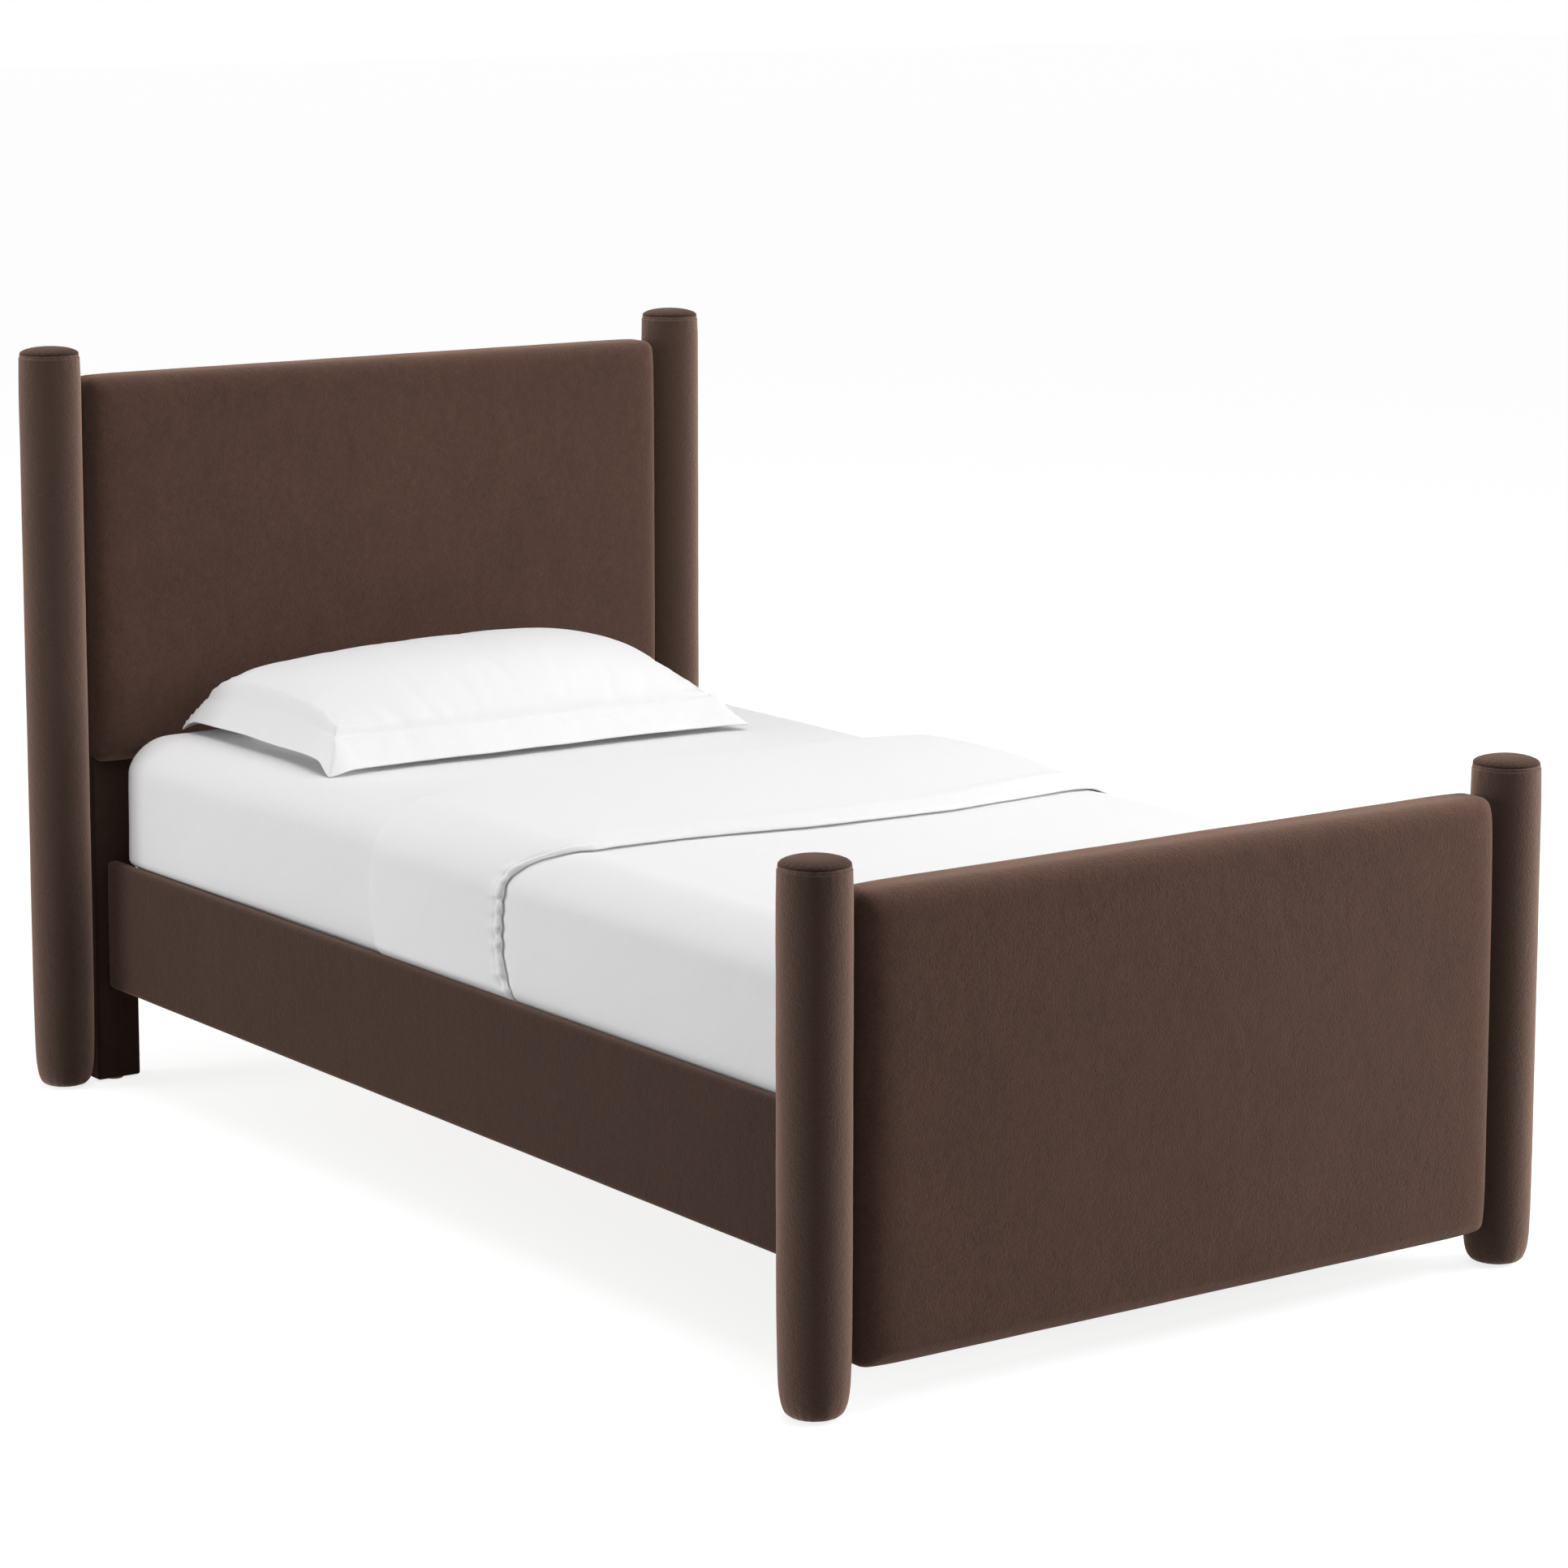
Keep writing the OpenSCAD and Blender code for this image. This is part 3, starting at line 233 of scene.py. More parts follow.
def curve_through(marks, per):
    """One smooth curve through the marks, with so many points to each stretch."""
    marks = np.array(marks, float)
    gap = np.linalg.norm(np.diff(marks, axis=0), axis=1)[:, None]
    slope = np.diff(marks, axis=0) / gap
    inner = (slope[:-1] * gap[1:] + slope[1:] * gap[:-1]) / (gap[:-1] + gap[1:])
    lean = np.vstack([slope[:1], inner, slope[-1:]])
    t = np.linspace(0, 1, per, endpoint=False)[:, None]
    line = []
    for i, stretch in enumerate(gap):
        leave = (2 * t**3 - 3 * t**2 + 1) * marks[i] + (t**3 - 2 * t**2 + t) * stretch * lean[i]
        arrive = (3 * t**2 - 2 * t**3) * marks[i + 1] + (t**3 - t**2) * stretch * lean[i + 1]
        line.append(leave + arrive)
    return np.vstack(line + [marks[-1:]])


def make_piece(name, points, faces, finish, body="bed_frame", nodes=()):
    """One visible piece: its mesh and finish, the body it rides on and the solids it stands for."""
    mesh = bpy.data.meshes.new(name)
    corners = [tuple(map(float, p)) for p in points]
    mesh.from_pydata(corners, [], [tuple(map(int, f)) for f in faces])
    mesh.validate()
    piece = bpy.data.objects.new(name, mesh)
    bpy.context.scene.collection.objects.link(piece)
    grid = bmesh.new()
    grid.from_mesh(mesh)
    bmesh.ops.recalc_face_normals(grid, faces=grid.faces)
    for face in grid.faces:
        face.smooth = True
    grid.to_mesh(mesh)
    grid.free()
    mesh.materials.append(finish)
    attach(piece, body)
    if nodes:
        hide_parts(*nodes)
    return piece


def between_rings(rings, n):
    """Faces between rings of n points each."""
    return [(i * n + j, i * n + (j + 1) % n, (i + 1) * n + (j + 1) % n, (i + 1) * n + j)
            for i in range(rings - 1) for j in range(n)]


def turned(outline, angles):
    """Points and faces of an outline of (radius, height) turned round the upright axis."""
    points = [(r * math.cos(a), r * math.sin(a), z) for r, z in outline for a in angles]
    return np.array(points), between_rings(len(outline), len(angles))


post_x, post_y, cap_seam_drop = 0.588, 1.025, 0.0115
blind_turn = 28
posts = {"head_post_left": (-1, 1, 1.189), "head_post_right": (1, 1, 1.189),
         "foot_post_left": (-1, -1, 0.720), "foot_post_right": (1, -1, 0.720)}
for seed, (post, (side, end, height)) in enumerate(posts.items()):
    seam = height - cap_seam_drop
    foot = [(0.0150, 0.0036), (0.0250, 0.0032), (0.0325, 0.0046), (0.0378, 0.0090),
            (0.0414, 0.0165), (0.0446, 0.0320), (0.0464, 0.0620), (0.0474, 0.1100)]
    shaft = [(0.0480 + 0.0005 * t, 0.19 + (seam - 0.27) * t) for t in np.linspace(0, 1, 12)]
    shoulder = [(0.0484, 0.0450), (0.0480, 0.0220), (0.0476, 0.0110), (0.0471, 0.0056),
                (0.0459, 0.0046), (0.0455, 0.0040), (0.0464, 0.0032), (0.0466, 0.0022),
                (0.0461, 0.0013), (0.0448, 0.0010), (0.0405, 0.0012)]
    shoulder = [(wide, seam - below) for wide, below in shoulder]
    outline = curve_through(foot + shaft + shoulder, 3)
    blind = math.radians(90 - side * blind_turn)
    angles = np.unique(np.round(np.concatenate([
        np.linspace(0, 2 * math.pi, 80, endpoint=False),
        blind + np.radians([-3, -2, -1.2, -0.6, 0, 0.6, 1.2, 2, 3])]), decimals=5))
    points, faces = turned(outline, angles)
    theta = np.tile(angles, len(outline))
    z = points[:, 2]
    swell = 0.00035 * ripple(points, 11, seed) + 0.00018 * ripple(points, 38, seed + 9)
    foot_folds = 0.0003 * np.sin(17 * theta + 2.5 * np.sin(3 * theta + seed))
    gather = (1 - smooth_step(0.006, 0.05, z)) * foot_folds
    cap_folds = 0.00025 * np.sin(23 * theta + 2 * np.sin(2 * theta + seed))
    drawn = smooth_step(seam - 0.03, seam - 0.004, z) * cap_folds
    from_seam = (theta - blind + math.pi) % (2 * math.pi) - math.pi
    groove = -0.0008 * np.exp(-(from_seam / 0.017) ** 2)
    groove += 0.0004 * np.exp(-((abs(from_seam) - 0.05) / 0.03) ** 2)
    radius = np.hypot(points[:, 0], points[:, 1])
    grown = 1 + (swell + gather + drawn + groove) / np.maximum(radius, 0.01)
    points[:, 0] = points[:, 0] * grown + side * post_x
    points[:, 1] = points[:, 1] * grown + end * post_y
    make_piece(post + "_velvet", points, faces, velvet_posts, nodes=[post + "_cover"])

# Post caps: a domed disc, padded and wrapped in the same velvet, closes each post. It lies on
# the shoulder of the post's cover, and the seam round it shows as one fine dark line.

# Caps: base colour at 0.55, painted shade on their upward-facing tops, with weaker sheen.
velvet_caps = velvet("velvet_caps", 0.55, 0.36)
for seed, (post, (side, end, height)) in enumerate(posts.items()):
    seam = height - cap_seam_drop
    rim, rise, sides = 0.0462, 0.0106, 96
    across = np.concatenate([np.linspace(0.996, 0.90, 9), np.linspace(0.87, 0.012, 22)])
    outline = [(0.0390, seam - 0.0014), (0.0440, seam - 0.0010), (0.0456, seam - 0.0001)]
    outline += [(rim, seam + 0.0010)]
    outline += [(rim * r, seam + 0.0010 + rise * (1 - r**2.5) ** 0.6) for r in across]
    points, faces = turned(outline, np.linspace(0, 2 * math.pi, sides, endpoint=False))
    faces.append(tuple(range(len(points) - sides, len(points))))
    theta = np.arctan2(points[:, 1], points[:, 0])
    radius = np.hypot(points[:, 0], points[:, 1])
    pull = smooth_step(0.032, 0.043, radius) * (1 - smooth_step(0.045, rim, radius))
    points[:, 2] += pull * 0.0003 * np.sin(26 * theta + 2 * np.sin(2 * theta + seed))
    points[:, 2] -= 0.0003 * (1 + ripple(points, 30, seed + 20)) * (points[:, 2] > seam)
    points[:, 0] += side * post_x
    points[:, 1] += end * post_y
    make_piece(post + "_velvet_cap", points, faces, velvet_caps, nodes=[post + "_cap"])

# Headboard and footboard covers: each panel is a stiff board in foam under one velvet case. The
# faces swell a little at mid height, the corners are drawn in, and a folded edge closes the case
# on the face towards the head end, a short way in from the sides.


def stations(half, radius, step, turn):
    """Places along one axis of a soft box: close together where its edges turn."""
    core = half - radius
    inner = np.linspace(-core, core, max(2, int(math.ceil(2 * core / step)) + 1))
    bend = core + radius * np.tan(np.linspace(0, math.pi / 4, turn + 1)[1:])
    return np.concatenate([-bend[::-1], inner, bend])


def soft_box(size, radius, step, turn=5, power=2.0, pair=(0, 1), firm=2.0):
    """A box with rounded edges as one grid; in the plane of the pair they turn more firmly."""
    half = np.array(size) / 2
    lines = [stations(h, radius, step, turn) for h in half]
    points, faces = [], []
    for axis in range(3):
        u, v = [k for k in range(3) if k != axis]
        for way in (-1, 1):
            start = len(points)
            for a in lines[u]:
                for b in lines[v]:
                    p = [0, 0, 0]
                    p[axis], p[u], p[v] = way * half[axis], a, b
                    points.append(p)
            n = len(lines[v])
            for i in range(len(lines[u]) - 1):
                for j in range(n - 1):
                    k = start + i * n + j
                    faces.append((k, k + n, k + n + 1, k + 1))
    points = np.array(points)
    core = np.clip(points, -(half - radius), half - radius)
    away = points - core
    flat = (np.abs(away[:, list(pair)]) ** firm).sum(1) ** (1 / firm)
    length = (flat**power + np.abs(away[:, 3 - sum(pair)]) ** power) ** (1 / power)
    points = core + away / np.maximum(length, 1e-9)[:, None] * radius
    first, same = np.unique(np.round(points, 6), axis=0, return_index=True, return_inverse=True)[1:]
    same = same.ravel()
    welded = []
    for face in faces:
        loop = [same[k] for k in face]
        loop = [k for i, k in enumerate(loop) if k != loop[i - 1]]
        if len(loop) > 2:
            welded.append(loop)
    return points[first], welded


def tube(path, radius, normal, sides=10):
    """A closed round cord along a ring of points."""
    count, points, faces = len(path), [], []
    for i, p in enumerate(path):
        along = Vector(path[(i + 1) % count]) - Vector(path[i - 1])
        sideways = along.normalized().cross(Vector(normal))
        for a in np.linspace(0, 2 * math.pi, sides, endpoint=False):
            way = sideways * math.cos(a) + Vector(normal) * math.sin(a)
            points.append(Vector(p) + way * radius)
    for i in range(count):
        for k in range(sides):
            j, m = (i + 1) % count, (k + 1) % sides
            faces.append((i * sides + k, j * sides + k, j * sides + m, i * sides + m))
    return np.array(points), faces


def rounded_ring(half_a, half_b, radius, step):
    """Places round a rectangle with rounded corners, in two coordinates."""
    ring = []
    for quarter, (sa, sb) in enumerate(((1, 1), (-1, 1), (-1, -1), (1, -1))):
        for turn in np.radians(np.linspace(0, 90, 9)) + quarter * math.pi / 2:
            ring.append((sa * (half_a - radius) + radius * math.cos(turn),
                         sb * (half_b - radius) + radius * math.sin(turn)))
    places = []
    for i, here in enumerate(ring):
        there = ring[(i + 1) % len(ring)]
        parts = max(1, int(math.dist(here, there) / step))
        apart = np.array(there) - here
        places += [tuple(np.array(here) + apart * k / parts) for k in range(parts)]
    return places


def eased(places, half, reach, gain):
    """Spreads the start of an edge's rounding over the flat beside it, so it turns gradually."""
    inside = half - places
    near = inside * (1 + gain * (inside / reach) ** 2)
    far_in = inside + gain * reach * (1 - smooth_step(reach, reach * 6, inside))
    return half - np.where(inside < reach, near, far_in)


panel_thick, panel_round, panel_step = 0.094, 0.034, 0.012


def stuffed(points, half_x, half_z, seed):
    """The case drawn over its foam: swollen faces, slack corners and uneven edges. The sides and
    the top turn gradually, and the bottom edge turns tighter."""
    x, y, z = points.T
    x = np.sign(x) * eased(np.abs(x), half_x, panel_round, 0.9)
    top_z, bottom_z = eased(z, half_z, panel_round, 0.35), -eased(-z, half_z, panel_round, -0.25)
    z = np.where(z < 0, bottom_z, top_z)
    up, out = z / half_z, np.abs(x) / half_x
    crown = 0.0031 * (1 - up**2) * (1 - out**12) + 0.0008 * (1 - out**4)
    lumps = 0.00045 * ripple(points, 7, seed + 30) + 0.0002 * ripple(points, 24, seed + 31)
    corner = smooth_step(0.86, 1.0, out) * smooth_step(0.78, 1.0, np.abs(up))
    pulls = np.sin(150 * (np.abs(x) - np.abs(z)) + 4 * ripple(points, 9, seed + 32))
    pulls = corner * 0.0006 * pulls
    rim = smooth_step(half_x - 0.07, half_x, np.abs(x))
    drawn = rim * (0.0014 * np.abs(up) ** 3 + 0.0005 * (1 + ripple(points, 13, seed + 33)))
    side_y = np.sign(y) * smooth_step(0.0, panel_thick / 2, np.abs(y))
    crest = smooth_step(0.8, 1.0, np.abs(up))
    sunk = crest * (0.0008 * corner + 0.0004 * (1 + ripple(points, 10, seed + 34)))
    return np.stack([
        x - np.sign(x) * drawn,
        y + side_y * (crown + lumps + pulls - 0.003 * corner),
        z - np.sign(z) * sunk], 1)


def over_blocks(points, block_z):
    """The footboard's velvet lies over the two blocks that carry the rails' slot plates."""
    block_x, block_face = 0.5078, 0.0496
    x, y, z = points.T
    pad = 1 - smooth_step(0.012, 0.021, np.abs(np.abs(x) - block_x))
    pad = pad * (1 - smooth_step(0.070, 0.082, np.abs(z - block_z))) * (y > 0.03)
    return np.stack([x, y + pad * np.maximum(0, block_face - y), z], 1)


# Panels: base colour raised to 2.2, painted light that keeps their faces bright while their sheen
# is weaker.
velvet_panels = velvet("velvet_panels", 2.2, 0.53)
panels = {"headboard": (1, 0.521, 1.140), "footboard": (-1, 0.055, 0.673)}
welt_inset, welt_radius, welt_sunk = 0.038, 0.0021, 0.0005
panel_half_x, rail_mid_z = 0.5392, 0.2575
for seed, (panel, (end, low, high)) in enumerate(panels.items()):
    half_x, half_z = panel_half_x, (high - low) / 2
    points, faces = soft_box((2 * half_x, panel_thick, 2 * half_z), panel_round, panel_step,
                             turn=8, power=2.1, pair=(0, 2), firm=4.5)
    points = stuffed(points, half_x, half_z, seed)
    if panel == "footboard":
        points = over_blocks(points, rail_mid_z - (low + high) / 2)
    ring = rounded_ring(half_x - welt_inset, half_z - welt_inset, 0.014, panel_step)
    path = np.array([(x, panel_thick / 2, z) for x, z in ring])
    path = stuffed(path, half_x, half_z, seed) - (0, welt_sunk, 0)
    cord, cord_faces = tube(path, welt_radius, (0, 1, 0), 8)
    faces += [[k + len(points) for k in face] for face in cord_faces]
    points = np.vstack([points, cord]) + (0, end * post_y, (low + high) / 2)
    make_piece(panel + "_velvet", points, faces, velvet_panels,
               nodes=[panel + "_cover", panel + "_foam"])

# Head leg covers: beside each head post a flat timber plank runs from the floor up into the
# headboard, wrapped in the same velvet with hardly any padding, so that its edges stay crisp.

leg_x, leg_clear = 0.50075, 0.003
leg_wide, leg_thick, leg_high = 0.0755, 0.039, 0.5305
# Leg planks: base colour at 0.6, painted shade for the shadow they stand in.
velvet_legs = velvet("velvet_legs", 0.6, 0.40)
for side, hand in ((-1, "left"), (1, "right")):
    points, faces = soft_box((leg_wide, leg_thick, leg_high), 0.0045, 0.014, turn=4)
    faces_out = np.sign(points) * (np.abs(points) > (0.030, 0.015, 9))
    above_floor = (1 - smooth_step(-0.24, -0.255, points[:, 2]))[:, None]
    points += 0.00022 * ripple(points, 14, 40 + side)[:, None] * faces_out * above_floor
    points += (side * leg_x, post_y, leg_clear + leg_high / 2)
    make_piece("head_leg_%s_velvet" % hand, points, faces, velvet_legs,
               nodes=["head_leg_%s_cover" % hand])

# Side rail covers: timber boards in thin padding and velvet, rounded along every edge. They hook
# into the leg planks and the footboard, and the velvet is stapled shut underneath.

rail_thick, rail_long, rail_high, rail_round = 0.0245, 1.9775, 0.209, 0.0118
rail_x, rail_head_y, rail_foot_y = 0.50775, 1.0045, -0.973
# Rails: base colour at 0.95, a little painted shade, with weaker sheen.
velvet_rails = velvet("velvet_rails", 0.95, 0.335)
for side, hand in ((-1, "left"), (1, "right")):
    points, faces = soft_box((rail_thick, rail_long, rail_high), rail_round, 0.014,
                             turn=6, power=2.5, pair=(1, 2), firm=3.2)
    x, y, z = points.T
    y = np.where(y > 0, eased(y, rail_long / 2, rail_round, 1.7), y)
    soft_padding = 0.0006
    swell = soft_padding * (1 - (z / (rail_high / 2)) ** 2)
    lift = swell + 0.0003 * ripple(points, 8, 50 + side) + 0.00015 * ripple(points, 30, 52 + side)
    side_x = np.sign(x) * smooth_step(0, rail_thick / 2, np.abs(x))
    rim_z = np.sign(z) * smooth_step(0.09, rail_high / 2, np.abs(z))
    sunk = 0.0003 * (1 + ripple(points, 9, 54 + side))
    points = np.stack([x + side_x * (lift - soft_padding), y, z - rim_z * sunk], 1)
    points += (side * rail_x, (rail_head_y + rail_foot_y) / 2, rail_mid_z)
    make_piece("rail_%s_velvet" % hand, points, faces, velvet_rails,
               nodes=["rail_%s_cover" % hand])

# Timber inside and below: softwood for the post cores, leg planks, rails and centre support,
# glued board in the panels, and bare slats and ledgers. Nothing here is varnished.


def timber(name, along, pale, dark):
    """Sawn wood with its grain along one axis."""
    finish = Finish(name, Roughness=0.62)
    finish.shader.inputs["Specular IOR Level"].default_value = 0.3
    where = finish.place(tuple(0.06 if axis == along else 1.0 for axis in range(3)))
    rings = finish.grain(38, where, detail=4, twist=1.5)
    lines = finish.grain(260, where, detail=3)
    patch = finish.grain(3.0, where, detail=2)
    mask = finish.node("ValToRGB", {"stops": [(0.35, 0), (0.62, 1)]}, {0: rings})
    tone = mask * 0.55 + lines * 0.35 + patch * 0.35 - 0.15
    finish.feed(finish.shader.inputs["Base Color"], finish.mix(tone, dark, pale))
    finish.feed(finish.shader.inputs["Roughness"], lines * 0.25 + 0.5)
    finish.relief(lines * 0.7 + rings * 0.3, 0.0004, 0.6)
    return finish.owner


def dress(finish, *nodes):
    """Gives CAD pieces their finish."""
    for node in nodes:
        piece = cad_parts[node]
        piece.data.materials.clear()
        piece.data.materials.append(finish)


pine_up = timber("pine_up", 2, (0.60, 0.41, 0.23), (0.38, 0.22, 0.10))
pine_long = timber("pine_long", 1, (0.62, 0.43, 0.25), (0.40, 0.24, 0.11))
pine_across = timber("pine_across", 0, (0.66, 0.48, 0.29), (0.44, 0.28, 0.14))
board = timber("board", 0, (0.48, 0.34, 0.20), (0.33, 0.21, 0.11))
dress(pine_up, *[post + "_core" for post in posts], "head_leg_left_core", "head_leg_right_core",
      "centre_leg_1", "centre_leg_2", "centre_leg_3", "footboard_blocks")
dress(pine_long, "rail_left_board", "rail_right_board", "rail_left_ledger", "rail_right_ledger",
      "centre_rail")
dress(board, "headboard_board", "footboard_board")
dress(pine_across, *["slat_%02d" % k for k in range(1, 13)])

# Metal and plastic fittings: zinc-plated plates, studs and inserts, yellow-passivated wood
# screws, blackened levelling feet, and grey nylon glides pinned under the posts and leg planks.


def metal(name, tint, rough, spots):
    """Plated or bare metal, a little duller in cloudy spots."""
    finish = Finish(name, Metallic=1.0)
    cloud = finish.grain(spots, detail=3)
    fine = finish.grain(900, detail=2)
    darker = tuple(0.72 * c for c in tint)
    finish.feed(finish.shader.inputs["Base Color"], finish.mix(cloud, darker, tint))
    finish.feed(finish.shader.inputs["Roughness"], cloud * 0.18 + fine * 0.12 + (rough - 0.12))
    finish.relief(fine, 0.0002, 0.3)
    return finish.owner


dress(metal("zinc", (0.62, 0.63, 0.65), 0.42, 60),
      "hook_plates", "slot_plates", "studs", "plate_screws", "threaded_inserts")
dress(metal("yellow_zinc", (0.66, 0.53, 0.28), 0.36, 90), "wood_screws")
dress(metal("black_steel", (0.06, 0.06, 0.065), 0.5, 40),
      "levelling_foot_1", "levelling_foot_2", "levelling_foot_3")
nylon = Finish("nylon", Roughness=0.5)
scuffs = nylon.grain(140, detail=4)
nylon_grey = nylon.mix(scuffs, (0.10, 0.10, 0.10), (0.17, 0.17, 0.165))
nylon.feed(nylon.shader.inputs["Base Color"], nylon_grey)
nylon.feed(nylon.shader.inputs["Roughness"], scuffs * 0.3 + 0.35)
nylon.relief(scuffs, 0.0002, 0.3)
dress(nylon.owner, "floor_glides")

# Mattress: a sprung block in pale ticking, with a taped edge round its base. Only its underside
# between the slats and its lowest edge show below the fitted sheet.


def cotton(name, tint, crease):
    """Plain woven cotton: fine threads both ways, faint slubs and soft creases."""
    finish = Finish(name, Roughness=0.85, Sheen_Weight=0.15, Sheen_Roughness=0.6)
    finish.shader.inputs["Specular IOR Level"].default_value = 0.2
    across = finish.grain(260, finish.place((1, 6, 1)), detail=2)
    along = finish.grain(260, finish.place((6, 1, 6)), detail=2)
    folds = finish.grain(9, finish.place((1.0, 1.4, 1.2)), detail=3, twist=0.8)
    cloth = across * 0.5 + along * 0.5
    low = tuple(c * 0.965 for c in tint)
    finish.feed(finish.shader.inputs["Base Color"], finish.mix(cloth, low, tint))
    finish.relief(cloth * 0.0003 + folds * crease, 1.0, 1.0)
    return finish.owner


mattress_y, mattress_z, mattress_top = 0.018, 0.442, 0.569


def belly(y, z):
    """How far the mattress's side swells over the rail, most near the head."""
    rise = smooth_step(0.346, 0.368, z) * (1 - smooth_step(0.505, mattress_top, z))
    return rise * (0.0100 + 0.0080 * smooth_step(0.3, 0.9, y))


ticking = cotton("ticking", (0.80, 0.79, 0.76), 0.001)
block_size = (0.963, 1.903, 0.254)
points, faces = soft_box(block_size, 0.056, 0.03, turn=6, power=2.3, pair=(0, 1), firm=6)
x, y, z = points.T
# The bottom edge turns within half the height that the top edge takes.
bottom, turn_from, turn_to = block_size[2] / 2, 0.073, 0.1
tight = -bottom + (z + bottom) * 0.5
base = np.where(z < -turn_from, tight, -turn_to + (z + turn_from) * turn_to / turn_from)
z = np.where(z < 0, base, z) + mattress_z
x = x + np.sign(x) * smooth_step(0.40, 0.462, np.abs(x)) * belly(y, z)
points = np.stack([x, y + mattress_y, z], 1)
make_piece("mattress_block", points, faces, ticking, body="mattress_set",
           nodes=["mattress"])
tape_x, tape_y, tape_z, tape_radius = 0.4780, 0.9480, 0.3228, 0.0040
tape_ring = rounded_ring(tape_x, tape_y, 0.040, 0.03)
tape_ring = [(x, y + mattress_y, tape_z) for x, y in tape_ring]
points, faces = tube(tape_ring, tape_radius, (0, 0, 1))
tape_cotton = cotton("tape", (0.72, 0.71, 0.68), 0.0002)
make_piece("mattress_tape", points, faces, tape_cotton, body="mattress_set")

# Fitted sheet: one white cotton sheet pulled over the mattress, smooth on top, rounder than the
# block at its corners, with faint strain lines there and an elastic hem behind the rails.

sheet_cotton = cotton("sheet_cotton", (0.885, 0.885, 0.89), 0.0022)
sheet_size = (0.9685, 1.9085, 0.2575)
points, faces = soft_box(sheet_size, 0.060, 0.016, turn=9, power=2.45, pair=(0, 1), firm=6)
x, y, z = points.T
side_x = smooth_step(0.40, 0.465, np.abs(x)) * np.sign(x)
side_y = smooth_step(0.87, 0.9543, np.abs(y)) * np.sign(y)
strain = np.sin(66 * (np.abs(x) + np.abs(y)) + 3 * ripple(points, 8, 61))
strain = np.abs(side_x * side_y) * 0.0010 * strain
soft = 0.0009 * ripple(points * (1, 1, 1.4), 5.5, 60) + 0.0003 * ripple(points, 19, 62)
foot_side = np.where(y > 0, 0, 1)
drawn_in, slack = 0.0006, 0.0036
points = np.stack([
    x + side_x * (belly(y, z + mattress_z) + soft + strain),
    y + side_y * (-drawn_in + foot_side * (slack + soft + strain)),
    z + smooth_step(0.09, 0.128, z) * (soft - drawn_in)], 1)
hem_low = -0.104
keep = [f for f in faces if points[f, 2].mean() > hem_low]
used = np.unique(np.concatenate([np.ravel(f) for f in keep]))
order = np.full(len(points), -1)
order[used] = np.arange(len(used))
keep = [[order[k] for k in f] for f in keep]
points = points[used] + (0, mattress_y, mattress_z)
sheet = make_piece("fitted_sheet_cloth", points, keep, sheet_cotton, body="mattress_set",
                   nodes=["fitted_sheet"])
hem = sheet.modifiers.new("hem", "SOLIDIFY")
hem.thickness, hem.offset = 0.0008, -1

# Bed cover: a white cotton cover over the lower bed, tucked down behind both rails and over the
# foot of the mattress. Its head end is turned back to a band with a stitched hem that puckers.

gap, arc = 0.0024, 0.0584
wide, top = 0.4825 + gap, mattress_top + gap
drop_low, rail_top = 0.345, 0.362
# Ways along the cloth are measured from the bed's middle; the side hangs straight from side_start.
side_start = wide - arc + arc * math.pi / 2
foot_turn, wrap = mattress_y - 0.8965, math.radians(72)
foot_end = foot_turn - arc * wrap


def section(w):
    """The mattress's outline across the bed, at way w along the cloth: x, z and the way out."""
    turn = np.clip((np.abs(w) - (wide - arc)) / arc, 0, math.pi / 2)
    hand = np.sign(w)
    x = hand * np.minimum(np.abs(w), wide - arc) + hand * arc * np.sin(turn)
    z = top - arc + arc * np.cos(turn) - np.maximum(0, np.abs(w) - side_start)
    return x, z, hand * np.sin(turn), np.cos(turn)


def lay(w, y, thick):
    """Where a point of the cloth lies, so far above the mattress, wrapped round its foot."""
    x, z, out_x, out_z = section(w)
    turn = np.clip((foot_turn - y) / arc, 0, wrap)
    push = (arc + thick) * np.cos(turn) - arc
    place_y = np.where(y < foot_turn, foot_turn - (arc + thick) * np.sin(turn), y)
    place_x = x + out_x * (push + np.abs(out_x) * belly(y, z) * np.cos(turn))
    return np.stack([place_x, place_y, z + out_z * push], -1)


def cloth_noise(w, y, scale, seed):
    """Smooth noise over the cloth laid flat."""
    flat = np.stack(np.broadcast_arrays(w, y, 0.0), -1)
    return ripple(flat.reshape(-1, 3), scale, seed).reshape(flat.shape[:-1])


reach = side_start + top - arc - drop_low
left_rows, right_rows = np.arange(-reach, -0.36, 0.0032), np.linspace(0.36, reach, 78)
w = np.concatenate([left_rows, np.arange(-0.36, 0.36, 0.0085), right_rows])[:, None]
z_here = section(w)[1]
far = np.abs(w) / side_start
# In full above the rail, and nothing where the cloth is tucked behind it.
free = smooth_step(rail_top - 0.002, rail_top + 0.014, z_here)
beside = smooth_step(0.74, 0.92, far) * (w < 0)
body, over = 0.003 + 0.002 * free, 0.003 + 0.004 * free * (1 - 0.5 * beside)
hem_air = 0.0007 + 0.0014 * free * (1 - smooth_step(0.72, 0.92, far))
rightward = w / side_start
loose = smooth_step(0.15, 0.80, rightward) * (1 - 0.6 * smooth_step(0.95, 1.15, rightward))
fold_air = 0.0007 + free * (0.0030 + 0.0120 * loose)


def edge_line(left_marks, right_marks):
    """A line over the cover from rail to rail: its place along the bed at each way out."""
    left, right = [curve_through(marks, 8).T for marks in (left_marks, right_marks)]
    return np.where(w < 0, np.interp(far, *left), np.interp(far, *right))


